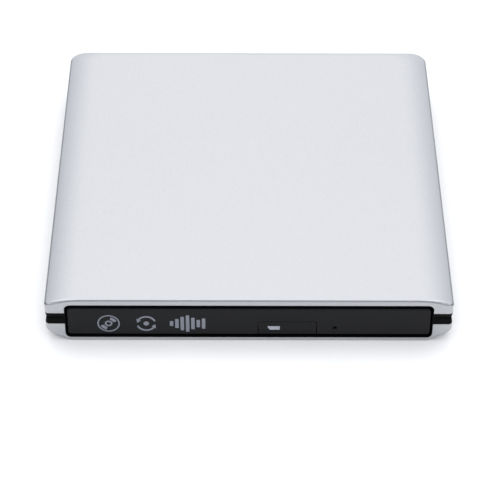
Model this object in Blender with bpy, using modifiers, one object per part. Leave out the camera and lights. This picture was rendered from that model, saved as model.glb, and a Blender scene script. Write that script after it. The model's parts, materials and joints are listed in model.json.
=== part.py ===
"""External optical drive: a slim tray-loading drive in a two-shell aluminium enclosure.

Frame: metres, +Z up, X to the viewer's right, the bezel faces -Y.
The origin is the middle of the footprint, on the surface that the rubber feet stand on.
The functions take millimetres and turn them into metres in one place, when a mesh is made.
"""

import math

import bmesh
import bpy
from mathutils import Matrix, Vector

MM = 0.001
GAP = 0.3

# Enclosure
WIDTH = 145.0
DEPTH = 152.0
FOOT_STANDOFF = 0.5
SHELL_HEIGHT = 18.9
SKIN = 1.0
BASE = FOOT_STANDOFF
TOP = BASE + SHELL_HEIGHT
BAND_BOTTOM = BASE + 7.6
BAND_TOP = BASE + 12.7
GROOVE = 10.75
FRONT_CORNER_RADIUS = 1.5
REAR_CORNER_RADIUS = 6.0
SIDE_DROOP_RUN = 9.0
SIDE_DROOP = 2.1
REAR_DROOP_RUN = 5.0
BOTTOM_SIDE_INSET = 7.5
BOTTOM_REAR_INSET = 4.0
OPENING_WIDTH = 130.8
OPENING_BOTTOM = BASE + 1.5
OPENING_TOP = BASE + 16.05
OPENING_RADIUS = 1.8
PORT_PANEL_WIDTH = 60.0
BOSS_X = 58.0
BOSS_Y = 69.3
BOSS_FOOT = 2.0
SCREW_HEAD_RADIUS = 2.3
FOOT_X = 55.0
FOOT_Y = 58.0
FOOT_RADIUS = 5.0
JACK_CENTRE = (-18.0, 10.7)

# Slim drive, 128 mm wide, 126.1 mm deep and 12.7 mm high
DRIVE_WIDTH = 128.0
DRIVE_DEPTH = 126.1
DRIVE_HEIGHT = 12.7
DRIVE_BOTTOM = 3.05
DRIVE_TOP = DRIVE_BOTTOM + DRIVE_HEIGHT
DRIVE_FRONT = -71.2
DRIVE_REAR = DRIVE_FRONT + DRIVE_DEPTH
DRIVE_WALL = 0.6
DRIVE_SPLIT = 12.15
BEZEL_WIDTH = 128.9
BEZEL_FACE = -DEPTH / 2 + 0.3
BEZEL_BACK = -71.5
BEZEL_TOP = 14.95

# Tray and its rails
DISC_RADIUS = 60.0
WELL_RADIUS = DISC_RADIUS + 0.75
DISC_Y = -9.0
TRAY_HALF = 60.0
TRAY_BOTTOM = 5.0
TRAY_TOP = 13.4
WELL_FLOOR = 11.4
FLOOR_UNDERSIDE = 10.4
TRAY_FRONT = -71.0
TRAY_REAR = 52.6
POCKET_HALF = 56.6
POCKET_FRONT = -69.6
POCKET_REAR = 42.8
SKIRT_REAR = 44.0
CHANNEL_BOTTOM = 6.4
CHANNEL_TOP = 9.4
GUIDE_BOTTOM = 5.6
GUIDE_TOP = 10.2
RAIL_FRONT = -60.0
RAIL_REAR = 50.0

# Traverse: local X runs from the spindle outwards along the pickup's path
TRAVERSE_TURN = math.radians(225.0)
SHAFT_OFFSET = 14.5
SHAFT_HEIGHT = 6.6
SCREW_OFFSET = 19.5
SCREW_HEIGHT = 7.0
LENS_INNER_RADIUS = 22.5
SCREW_THREADS = 17
SCREW_PITCH = 3.0
GROMMETS = ((-20.0, 0.0), (44.0, -26.5), (40.0, 27.5))
EAR_RADIUS = 4.6
CLAW_COUNT = 3

# Eject button and latch
BUTTON_LEFT = 3.4
BUTTON_RIGHT = 24.0
BUTTON_TOP = 8.7
PINHOLE_X = 30.6
PINHOLE_Z = 5.85
LATCH_PIVOT = (46.0, -49.0)
LATCH_RELEASED = math.radians(-15.0)
POST = (50.5, -62.0)

COLOURS = {
    "silver_paint": ((0.78, 0.79, 0.81), 0.35, 0.75),
    "black_plastic": ((0.012, 0.012, 0.014), 0.4, 0.0),
    "bezel_black": ((0.016, 0.017, 0.02), 0.38, 0.0),
    "rubber": ((0.02, 0.02, 0.02), 0.85, 0.0),
    "steel": ((0.62, 0.63, 0.64), 0.3, 1.0),
    "zinc_steel": ((0.55, 0.56, 0.57), 0.4, 1.0),
    "circuit_board": ((0.015, 0.13, 0.06), 0.5, 0.0),
    "chip": ((0.02, 0.02, 0.022), 0.5, 0.0),
    "white_plastic": ((0.8, 0.8, 0.78), 0.45, 0.0),
    "light_window": ((0.6, 0.62, 0.66), 0.3, 0.0),
    "brass": ((0.8, 0.6, 0.28), 0.3, 1.0),
    "lens": ((0.35, 0.4, 0.6), 0.05, 0.0),
    "ribbon": ((0.75, 0.72, 0.6), 0.5, 0.0),
}

for old in list(bpy.data.objects):
    bpy.data.objects.remove(old, do_unlink=True)

parts = bpy.data.collections.new("external_optical_drive")
cutters = bpy.data.collections.new("cutters")
for collection in (parts, cutters):
    bpy.context.scene.collection.children.link(collection)


def material(name):
    """The material of that name, made on first use."""
    found = bpy.data.materials.get(name)
    if found:
        return found
    colour, roughness, metallic = COLOURS[name]
    made = bpy.data.materials.new(name)
    made.use_nodes = True
    shader = made.node_tree.nodes["Principled BSDF"]
    shader.inputs["Base Color"].default_value = (*colour, 1.0)
    shader.inputs["Roughness"].default_value = roughness
    shader.inputs["Metallic"].default_value = metallic
    return made


def add(mesh, name, finish=None, at=(0, 0, 0)):
    """An object for a finished mesh: a part if it has a finish, else a cutter."""
    made = bpy.data.objects.new(name, mesh)
    made.location = Vector(at) * MM
    if finish:
        parts.objects.link(made)
        mesh.materials.append(material(finish))
    else:
        cutters.objects.link(made)
        made.hide_render = True
        made.display_type = "WIRE"
    return made


def from_bmesh(bm, name, finish=None, at=(0, 0, 0)):
    bmesh.ops.scale(bm, vec=(MM, MM, MM), verts=bm.verts)
    bmesh.ops.recalc_face_normals(bm, faces=bm.faces)
    mesh = bpy.data.meshes.new(name)
    bm.to_mesh(mesh)
    bm.free()
    return add(mesh, name, finish, at)


def box(name, low, high, finish=None, at=(0, 0, 0)):
    """A box between two corners."""
    bm = bmesh.new()
    bmesh.ops.create_cube(bm, size=1.0)
    size = [b - a for a, b in zip(low, high)]
    middle = [(a + b) / 2 for a, b in zip(low, high)]
    bmesh.ops.transform(bm, matrix=Matrix.Translation(middle) @ Matrix.Diagonal((*size, 1)), verts=bm.verts)
    return from_bmesh(bm, name, finish, at)


def rod(name, radius, start, end, finish=None, sides=16, at=(0, 0, 0)):
    """A cylinder between two points."""
    bm = bmesh.new()
    axis = Vector(end) - Vector(start)
    turn = Vector((0, 0, 1)).rotation_difference(axis).to_matrix().to_4x4()
    middle = (Vector(start) + Vector(end)) / 2
    bmesh.ops.create_cone(
        bm,
        cap_ends=True,
        segments=sides,
        radius1=radius,
        radius2=radius,
        depth=axis.length,
        matrix=Matrix.Translation(middle) @ turn,
    )
    made = from_bmesh(bm, name, finish, at)
    if finish:
        smooth(made)
    return made


def smooth(made):
    made.data.shade_smooth()
    made.data.set_sharp_from_angle(angle=math.radians(35))
    return made


def extrusion(name, loops, low, high, finish=None, along="Z", at=(0, 0, 0)):
    """Flat outlines, the first one outside and the rest holes, given a thickness along one axis.

    The outline's two numbers are X, Y along Z, X, Z along Y and Y, Z along X.
    """
    curve = bpy.data.curves.new(name, "CURVE")
    curve.dimensions = "2D"
    curve.fill_mode = "BOTH"
    curve.extrude = (high - low) / 2 * MM
    for loop in loops:
        spline = curve.splines.new("POLY")
        spline.points.add(len(loop) - 1)
        for point, (u, v) in zip(spline.points, loop):
            point.co = (u * MM, v * MM, 0, 1)
        spline.use_cyclic_u = True
    guide = bpy.data.objects.new(name, curve)
    turns = {
        "Z": Matrix.Identity(4),
        "Y": Matrix.Rotation(math.radians(90), 4, "X"),
        "X": Matrix(((0, 0, 1, 0), (1, 0, 0, 0), (0, 1, 0, 0), (0, 0, 0, 1))),
    }
    offset = (high + low) / 2 * MM
    lift = {"Z": (0, 0, offset), "Y": (0, offset, 0), "X": (offset, 0, 0)}[along]
    cutters.objects.link(guide)
    ready = guide.evaluated_get(bpy.context.evaluated_depsgraph_get())
    mesh = bpy.data.meshes.new_from_object(ready)
    bpy.data.objects.remove(guide)
    mesh.transform(Matrix.Translation(lift) @ turns[along])
    bm = bmesh.new()
    bm.from_mesh(mesh)
    bmesh.ops.remove_doubles(bm, verts=bm.verts, dist=0.000001)
    bmesh.ops.recalc_face_normals(bm, faces=bm.faces)
    bm.to_mesh(mesh)
    bm.free()
    mesh.materials.clear()
    return add(mesh, name, finish, at)


def turned(name, profile, finish, at=(0, 0, 0), steps=24):
    """A solid of revolution about Z from radius and height pairs, top to bottom down the outside."""
    bm = bmesh.new()
    corners = [bm.verts.new((radius, 0, height)) for radius, height in profile]
    for first, second in zip(corners, corners[1:]):
        bm.edges.new((first, second))
    bmesh.ops.scale(bm, vec=(MM, MM, MM), verts=bm.verts)
    mesh = bpy.data.meshes.new(name)
    bm.to_mesh(mesh)
    bm.free()
    made = add(mesh, name, finish, at)
    screw = made.modifiers.new("turn", "SCREW")
    screw.steps = steps
    screw.render_steps = steps
    screw.use_merge_vertices = True
    screw.merge_threshold = 0.00001
    return made


def combine(made, tool, operation="DIFFERENCE"):
    """Cut a part with a tool, or join the tool to it."""
    step = made.modifiers.new(tool.name, "BOOLEAN")
    step.operation = operation
    step.object = tool
    step.solver = "EXACT"
    return made


def bevel(made, width, segments=1, angle=40.0):
    step = made.modifiers.new("edges", "BEVEL")
    step.width = width * MM
    step.segments = segments
    step.limit_method = "ANGLE"
    step.angle_limit = math.radians(angle)
    return made


def arc(centre, radius, start, end, steps):
    """Points on an arc, by degrees."""
    angles = [math.radians(start + (end - start) * i / steps) for i in range(steps + 1)]
    return [(centre[0] + radius * math.cos(a), centre[1] + radius * math.sin(a)) for a in angles]


def rounded_rectangle(low, high, radii, steps=4):
    """Corners in the order right front, right rear, left rear, left front, each with its own radius."""
    (x0, y0), (x1, y1) = low, high
    front_right, rear_right, rear_left, front_left = radii
    return (
        arc((x1 - front_right, y0 + front_right), front_right, -90, 0, steps)
        + arc((x1 - rear_right, y1 - rear_right), rear_right, 0, 90, steps)
        + arc((x0 + rear_left, y1 - rear_left), rear_left, 90, 180, steps)
        + arc((x0 + front_left, y0 + front_left), front_left, 180, 270, steps)
    )


def plan(inset, rear_inset=None, steps=4):
    """The enclosure's outline seen from above, drawn in by a margin."""
    rear = inset if rear_inset is None else rear_inset
    front_radius = max(FRONT_CORNER_RADIUS - inset, 0.2)
    rear_radius = max(REAR_CORNER_RADIUS - inset, 1.0)
    low = (-WIDTH / 2 + inset, -DEPTH / 2 + inset)
    high = (WIDTH / 2 - inset, DEPTH / 2 - rear)
    return rounded_rectangle(low, high, (front_radius, rear_radius, rear_radius, front_radius), steps)


# Enclosure


def skin(name, levels):
    """A pressed shell: U-shaped rings round the sides and rear, a flat plate and a flat front wall.

    Each level is its height, its side inset and its rear inset, from the rim to the plate.
    """
    bm = bmesh.new()
    rings = []
    for height, side, rear in levels:
        x1 = WIDTH / 2 - side
        y1 = DEPTH / 2 - rear
        front = FRONT_CORNER_RADIUS
        path = [(x1 - front, -DEPTH / 2)]
        path += arc((x1 - front, -DEPTH / 2 + front), front, -60, 0, 2)
        rear_corner = REAR_CORNER_RADIUS
        path += arc((x1 - rear_corner, y1 - rear_corner), rear_corner, 0, 90, 6)
        path += [(-x, y) for x, y in reversed(path)]
        rings.append([bm.verts.new((x, y, height)) for x, y in path])
    for lower, upper in zip(rings, rings[1:]):
        for i in range(len(lower) - 1):
            bm.faces.new((lower[i], lower[i + 1], upper[i + 1], upper[i]))
    bm.faces.new(rings[-1])
    bm.faces.new([ring[0] for ring in rings] + [ring[-1] for ring in reversed(rings)])
    made = from_bmesh(bm, name, "silver_paint")
    mesh = made.data
    plate = max(mesh.polygons, key=lambda face: face.area)
    if plate.normal.z * (levels[-1][0] - levels[0][0]) < 0:
        mesh.flip_normals()
    shell = made.modifiers.new("wall", "SOLIDIFY")
    shell.thickness = SKIN * MM
    shell.offset = -1.0
    shell.solidify_mode = "NON_MANIFOLD"
    shell.nonmanifold_thickness_mode = "CONSTRAINTS"
    shell.nonmanifold_merge_threshold = 0.000001
    return made


def droop(run, drop, reach):
    """How far an edge that falls away in one arc has dropped, at a distance in from its rim."""
    radius = (run * run + drop * drop) / (2 * drop)
    inwards = max(run - reach, 0.0)
    return radius - math.sqrt(radius * radius - inwards * inwards)


def opening(name, grow=0.0):
    """The front opening's rounded prism."""
    half = OPENING_WIDTH / 2 + grow
    outline = rounded_rectangle(
        (-half, OPENING_BOTTOM - grow),
        (half, OPENING_TOP + grow),
        (OPENING_RADIUS,) * 4,
    )
    return extrusion(name, [outline], -DEPTH / 2 - 5, -DEPTH / 2 + 6, along="Y")


def make_skins():
    """The silver top and bottom shells."""
    rim = TOP - SIDE_DROOP
    steps = 5
    levels = [(BAND_TOP, 0.0, 0.0), (rim - 0.5, 0.0, 0.0)]
    for i in range(steps + 1):
        reach = 0.35 + (SIDE_DROOP_RUN - 0.35) * i / steps
        height = TOP - droop(SIDE_DROOP_RUN, SIDE_DROOP, reach)
        levels.append((height, reach, reach * REAR_DROOP_RUN / SIDE_DROOP_RUN))
    top = skin("top_skin", levels)
    combine(top, opening("top_opening"))

    upright = [(BAND_BOTTOM, 0.0, 0.0), (BASE + 5.5, 0.0, 0.0)]
    knuckle = [(BASE + 4.6, 0.35, 0.25), (BASE + 3.9, 1.3, 0.8)]
    foot = [(BASE, BOTTOM_SIDE_INSET, BOTTOM_REAR_INSET)]
    bottom = skin("bottom_skin", upright + knuckle + foot)
    combine(bottom, opening("bottom_opening"))
    for side in (-1, 1):
        x = side * BOSS_X
        hole = SCREW_HEAD_RADIUS + GAP
        combine(bottom, rod(f"screw_hole_{side}", hole, (x, BOSS_Y, 0), (x, BOSS_Y, 4), sides=20))
        x = side * FOOT_X
        hole = FOOT_RADIUS + GAP
        for end in (-1, 1):
            y = end * FOOT_Y
            combine(bottom, rod(f"foot_hole_{side}_{end}", hole, (x, y, 0), (x, y, 2), sides=20))
    facet(top)
    facet(bottom)


def facet(made):
    """Split every face into triangles, so that no face is left slightly bent."""
    made.modifiers.new("facets", "TRIANGULATE")


def make_frames():
    """Two black plastic rings that meet at the groove and carry the skins."""
    front = box("front_bar", (-OPENING_WIDTH / 2, -80, 0), (OPENING_WIDTH / 2, -66, 20))
    ports = box("port_window", (-PORT_PANEL_WIDTH / 2, 66, 8), (PORT_PANEL_WIDTH / 2, 80, 14))

    low, high = GROOVE + 0.15, BAND_TOP - GAP
    upper = extrusion("upper_frame", [plan(0.25), plan(2.3)], low, high, "black_plastic")
    inner = extrusion("upper_upstand", [plan(1.3), plan(2.3)], BAND_TOP - 1.0, TOP - 3.6)
    combine(upper, inner, "UNION")

    low = BAND_BOTTOM + GAP
    lower = extrusion("lower_frame", [plan(0.25), plan(3.6, 5.2)], low, GROOVE - 0.15, "black_plastic")
    tongue = extrusion("lower_tongue", [plan(2.6), plan(3.6)], GROOVE - 1.0, BAND_TOP - 1.0)
    skirt = extrusion("lower_skirt", [plan(1.3), plan(2.6)], low - 1.5, low + 0.5)
    combine(lower, tongue, "UNION")
    combine(lower, skirt, "UNION")
    for side in (-1, 1):
        x = side * BOSS_X
        combine(lower, rod(f"boss_{side}", 2.4, (x, BOSS_Y, BOSS_FOOT), (x, BOSS_Y, 7.8)), "UNION")
        combine(lower, rod(f"boss_pin_{side}", 1.9, (x, BOSS_Y, 7.0), (x, BOSS_Y, GROOVE - 0.4)), "UNION")
        combine(lower, rod(f"boss_bore_{side}", 1.15, (x, BOSS_Y, 0), (x, BOSS_Y, 9.4), sides=12))
    for frame in (upper, lower):
        combine(frame, front)
        combine(frame, ports)


def make_case_hardware():
    """Feet, screws, the port panel and the bridge board with its sockets."""
    places = {"front_left": (-1, -1), "front_right": (1, -1), "rear_left": (-1, 1), "rear_right": (1, 1)}
    for corner, (side, end) in places.items():
        at = (side * FOOT_X, end * FOOT_Y, 0)
        flange = [(0, 2.4), (FOOT_RADIUS + 0.9, 2.4), (FOOT_RADIUS + 0.9, 1.8)]
        pad = [(FOOT_RADIUS, 1.8), (FOOT_RADIUS, 0.3), (FOOT_RADIUS - 0.4, 0), (0, 0)]
        turned(f"foot_{corner}", flange + pad, "rubber", at, 20)
    for name, side in (("left", -1), ("right", 1)):
        shank = [(0, 7.6), (0.85, 7.6), (0.85, 1.6)]
        radius = SCREW_HEAD_RADIUS
        head = [(radius, 1.5), (radius, 1.0), (radius - 0.3, 0.7), (0, 0.7)]
        turned(f"case_screw_{name}", shank + head, "zinc_steel", (side * BOSS_X, BOSS_Y, 0), 12)

    half = PORT_PANEL_WIDTH / 2 - GAP
    outline = rounded_rectangle((-half, BAND_BOTTOM + GAP), (half, BAND_TOP - GAP), (0.3,) * 4, 1)
    usb_hole = rounded_rectangle((-6.6, 9.25), (6.6, 12.15), (0.5,) * 4, 2)
    jack_hole = arc(JACK_CENTRE, 1.95, 0, 345, 15)
    extrusion("port_panel", [outline, usb_hole, jack_hole], 74.1, 75.7, "black_plastic", along="Y")

    board = box("bridge_board", (-62, 56.4, 8.1), (62, 70.4, 9.0), "circuit_board")
    for side in (-1, 1):
        at = (side * BOSS_X, BOSS_Y)
        combine(board, rod(f"board_notch_{side}", 2.3, (*at, 7), (*at, 10), sides=16))
    box("bridge_chip", (16, 60, 9.3), (24, 68, 10.4), "chip")

    shell = box("usb_port", (-6.1, 64.0, 9.4), (6.1, 75.6, 12.0), "steel")
    combine(shell, box("usb_mouth", (-5.7, 66.5, 9.8), (5.7, 77, 11.6)))
    tongue = box("usb_tongue", (-4.6, 65.5, 10.5), (4.6, 75.0, 11.0))
    combine(shell, tongue, "UNION")

    x, z = JACK_CENTRE
    jack = box("dc_jack", (x - 3.2, 62.5, 9.3), (x + 3.2, 73.8, 12.8), "black_plastic")
    combine(jack, rod("jack_collar", 1.65, (x, 73, z), (x, 75.6, z), sides=16), "UNION")
    combine(jack, rod("jack_mouth", 1.2, (x, 66, z), (x, 77, z), sides=12))
    socket = box("bridge_sata_socket", (-46, 56.2, 4.4), (-11, 62.0, 7.8), "black_plastic")
    combine(socket, box("socket_mouth", (-43, 55, 5.3), (-14, 60.5, 6.9)))


# Slim drive


def open_box(name, low, high, missing, wall):
    """A sheet-metal pan: a box without the named sides, thickened inwards."""
    bm = bmesh.new()
    bmesh.ops.create_cube(bm, size=1.0)
    size = [b - a for a, b in zip(low, high)]
    middle = [(a + b) / 2 for a, b in zip(low, high)]
    gone = [face for face in bm.faces if any(face.normal.dot(Vector(side)) > 0.9 for side in missing)]
    bmesh.ops.delete(bm, geom=gone, context="FACES")
    bmesh.ops.transform(bm, matrix=Matrix.Translation(middle) @ Matrix.Diagonal((*size, 1)), verts=bm.verts)
    bmesh.ops.scale(bm, vec=(MM, MM, MM), verts=bm.verts)
    mesh = bpy.data.meshes.new(name)
    bm.to_mesh(mesh)
    bm.free()
    made = add(mesh, name, "zinc_steel")
    sheet = made.modifiers.new("sheet", "SOLIDIFY")
    sheet.thickness = wall * MM
    sheet.offset = -1.0
    sheet.use_even_offset = True
    return made


def make_drive_case():
    """The pan and lid of the slim drive, its rail guides, rear board, plug and catch post."""
    half = DRIVE_WIDTH / 2
    front, up, down = (0, -1, 0), (0, 0, 1), (0, 0, -1)
    pan_high = (half, DRIVE_REAR, DRIVE_SPLIT)
    pan = open_box("drive_chassis", (-half, DRIVE_FRONT, DRIVE_BOTTOM), pan_high, [up, front], DRIVE_WALL)
    combine(pan, box("plug_notch", (-47, DRIVE_REAR - 2, 4.3), (-10, DRIVE_REAR + 2, 11)))
    lid_low = (-half, DRIVE_FRONT, DRIVE_SPLIT + GAP)
    open_box("drive_cover", lid_low, (half, DRIVE_REAR, DRIVE_TOP), [down, front], DRIVE_WALL)

    wall = half - DRIVE_WALL - GAP
    lip = TRAY_HALF + 1.0
    channel = [
        (wall, GUIDE_BOTTOM),
        (wall, GUIDE_TOP),
        (lip, GUIDE_TOP),
        (lip, CHANNEL_TOP),
        (wall - 0.5, CHANNEL_TOP),
        (wall - 0.5, CHANNEL_BOTTOM),
        (lip, CHANNEL_BOTTOM),
        (lip, GUIDE_BOTTOM),
    ]
    for name, side in (("left", -1), ("right", 1)):
        section = [(side * x, z) for x, z in channel]
        extrusion(f"guide_{name}", [section], -66, 50.5, "white_plastic", along="Y")

    box("drive_board", (-52, 45.2, 4.6), (52, 54.0, 5.4), "circuit_board")
    plug = box("drive_sata_plug", (-45, 48.5, 5.7), (-12, 55.9, 9.6), "black_plastic")
    combine(plug, box("plug_mouth", (-43, 52.5, 6.6), (-14, 57, 8.6)))
    combine(plug, box("plug_blade", (-42, 51, 7.3), (-15, 55.6, 7.9)), "UNION")
    post = [(0, 8.2), (0.9, 8.2), (1.2, 7.8), (1.2, 4.05), (0, 4.05)]
    turned("catch_post", post, "steel", (*POST, 0), 16)


def make_ribbon():
    """The flat cable between the drive's rear board and the tray, folded under the tray."""
    fold, low, high, thick = -24.0, 3.9, 6.55, 0.2
    radius = (high - low) / 2
    middle = (fold, low + radius)
    outer = arc(middle, radius, 270, 90, 10)
    inner = arc(middle, radius - thick, 90, 270, 10)
    loop = [(50.0, low)] + outer + [(40.5, high), (40.5, high - thick)] + inner + [(50.0, low + thick)]
    extrusion("ribbon_cable", [loop], 27, 42, "ribbon", along="X")


# Tray


def from_traverse(points):
    """Traverse points, out along the pickup's path and across it, as X and Y."""
    c, s = math.cos(TRAVERSE_TURN), math.sin(TRAVERSE_TURN)
    return [(u * c - v * s, DISC_Y + u * s + v * c) for u, v in points]


def window(shrink):
    """The opening in the tray's floor over the traverse."""
    g = shrink
    outline = [
        (-16 + g, -22.5 + g),
        (53.2 - g, -22.5 + g),
        (64 - g, -11.7 + g * 0.5),
        (64 - g, 17.3 - g * 0.5),
        (57.9 - g * 0.5, 23.5 - g),
        (-16 + g, 23.5 - g),
    ]
    return from_traverse(outline)


def make_tray():
    """The moulded tray with its disc well, rail channels and pocket, and its bezel."""
    low = (-TRAY_HALF, TRAY_FRONT, TRAY_BOTTOM)
    tray = box("tray", low, (TRAY_HALF, TRAY_REAR, TRAY_TOP), "black_plastic")
    over = TRAY_TOP + 3
    combine(tray, rod("well", WELL_RADIUS, (0, DISC_Y, WELL_FLOOR), (0, DISC_Y, over), sides=72))
    pocket_low = (-POCKET_HALF, POCKET_FRONT, 0)
    combine(tray, box("pocket", pocket_low, (POCKET_HALF, POCKET_REAR, FLOOR_UNDERSIDE)))
    combine(tray, box("rear_bay", (-80, SKIRT_REAR, 0), (80, 80, FLOOR_UNDERSIDE)))
    combine(tray, extrusion("traverse_window", [window(0)], 8, over))
    combine(tray, box("post_way", (48.6, 40, 0), (52.4, 46, 8.9)))
    for side in (-1, 1):
        x = sorted((side * (TRAY_HALF - 1.6), side * (TRAY_HALF + 5)))
        channel = box(f"channel_{side}", (x[0], -80, CHANNEL_BOTTOM), (x[1], 80, CHANNEL_TOP))
        combine(tray, channel)
    for number, place in enumerate(from_traverse(GROMMETS), 1):
        column = rod(f"column_{number}", 1.3, (*place, 6.2), (*place, WELL_FLOOR - 0.5), sides=12)
        combine(tray, column, "UNION")

    half = BEZEL_WIDTH / 2
    bezel = box("bezel", (-half, BEZEL_FACE, DRIVE_BOTTOM), (half, BEZEL_BACK, BEZEL_TOP), "bezel_black")
    bevel(bezel, 0.9, 3)
    notch_low = (BUTTON_LEFT - GAP, -80, 0)
    combine(bezel, box("button_notch", notch_low, (BUTTON_RIGHT + GAP, -66, BUTTON_TOP + GAP)))
    x, z = PINHOLE_X, PINHOLE_Z
    combine(bezel, rod("pinhole", 0.7, (x, -80, z), (x, -66, z), sides=12))


def make_button():
    """The eject button with the light window in its face."""
    face = BEZEL_FACE + 0.1
    low = (BUTTON_LEFT, face, DRIVE_BOTTOM + 0.3)
    button = box("eject_button", low, (BUTTON_RIGHT, face + 2.5, BUTTON_TOP), "bezel_black")
    bevel(button, 0.4, 2)
    outline = [(7.5, 4.89), (11.0, 4.89), (11.0, 6.63), (6.7, 6.63), (6.7, 5.9)]
    grown = [(7.3, 4.59), (11.3, 4.59), (11.3, 6.93), (6.4, 6.93), (6.4, 5.8)]
    combine(button, extrusion("light_pocket", [grown], -80, face + 1.2, along="Y"))
    extrusion("light_window", [outline], face + 0.05, face + 0.9, "light_window", along="Y")


def make_tray_underside():
    """The under plate, tray board and its chip, and the latch with its solenoid."""
    outline = [(-56.2, -69.2), (24, -69.2), (24, 42.4), (-56.2, 42.4)]
    holes = [arc((x, 25.0), 3.0, 0, 330, 11) for x in (-40.0, -10.0)]
    extrusion("under_plate", [outline] + holes, 4.1, 4.5, "zinc_steel")
    box("tray_board", (-42, 12, 5.2), (10, 42, 6.0), "circuit_board")
    box("drive_chip", (-24, 19, 6.3), (-10, 33, 7.5), "chip")

    make_eject_spring((-50.0, 30.0, 7.6))
    make_latch()


def make_eject_spring(start):
    """The coil spring along Y that pushes the tray out, round its plunger."""
    x, y, z = start
    turns, per_turn, pitch, coil = 8, 10, 1.2, 1.5
    helix = bpy.data.curves.new("eject_spring", "CURVE")
    helix.dimensions = "3D"
    helix.bevel_depth = 0.25 * MM
    helix.bevel_resolution = 1
    helix.use_fill_caps = True
    spline = helix.splines.new("POLY")
    spline.points.add(turns * per_turn)
    for i, point in enumerate(spline.points):
        angle = math.tau * i / per_turn
        along = y + pitch * i / per_turn
        place = Vector((x + coil * math.cos(angle), along, z + coil * math.sin(angle))) * MM
        point.co = (*place, 1)
    helix.materials.append(material("steel"))
    parts.objects.link(bpy.data.objects.new("eject_spring", helix))
    pusher = rod("eject_pusher", 0.9, (x, y - 1.0, z), (x, y + 11.0, z), "white_plastic", sides=12)
    combine(pusher, rod("pusher_head", 2.2, (x, y + 10.5, z), (x, y + 12.4, z), sides=16), "UNION")


def make_latch():
    """A hook that swings behind the catch post, stored in its released position, and its solenoid."""
    reach = math.hypot(POST[0] - LATCH_PIVOT[0], POST[1] - LATCH_PIVOT[1]) - 1.2 - 0.35
    nose = arc((0, 0), reach, -102, -64, 6)
    inner = arc((0, 0), reach - 2.2, -64, -92, 4)
    boss = arc((0, 0), 2.6, -70, 210, 10)
    at = (*LATCH_PIVOT, 0)
    lever = extrusion("latch_lever", [nose + inner + boss], 5.4, 7.6, "white_plastic", at=at)
    combine(lever, rod("latch_bore", 1.2, (*LATCH_PIVOT, 3), (*LATCH_PIVOT, 9), sides=12))
    lever.rotation_euler.z = LATCH_RELEASED

    body = box("latch_solenoid", (28.0, -58.0, 5.2), (39.7, -51.0, 9.8), "steel")
    combine(body, rod("plunger_bore", 1.3, (31, -54.5, 6.5), (44, -54.5, 6.5), sides=12))
    plunger = rod("solenoid_plunger", 0.9, (33.0, -54.5, 6.5), (40.3, -54.5, 6.5), "steel", sides=12)
    combine(plunger, box("plunger_head", (40.0, -55.9, 5.5), (40.9, -53.1, 7.5)), "UNION")


def make_rails():
    """The two intermediate steel rails between the guides and the tray's channels."""
    inner, outer = TRAY_HALF - 1.2, TRAY_HALF + 2.3
    web = (TRAY_HALF + 0.25, TRAY_HALF + 0.95)
    low, high, flange = CHANNEL_BOTTOM + 0.4, CHANNEL_TOP - 0.4, 0.55
    section = [
        (inner, low),
        (outer, low),
        (outer, low + flange),
        (web[1], low + flange),
        (web[1], high - flange),
        (outer, high - flange),
        (outer, high),
        (inner, high),
        (inner, high - flange),
        (web[0], high - flange),
        (web[0], low + flange),
        (inner, low + flange),
    ]
    for name, side in (("left", -1), ("right", 1)):
        mirrored = [(side * x, z) for x, z in section]
        extrusion(f"rail_{name}", [mirrored], RAIL_FRONT, RAIL_REAR, "steel", along="Y")


# Traverse


def keyhole(radius, half_width, reach):
    """A round hole for the spindle that runs out into the pickup's slot."""
    mouth = math.degrees(math.asin(half_width / radius))
    return arc((0, 0), radius, mouth, 360 - mouth, 24) + [(reach, -half_width), (reach, half_width)]


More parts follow.
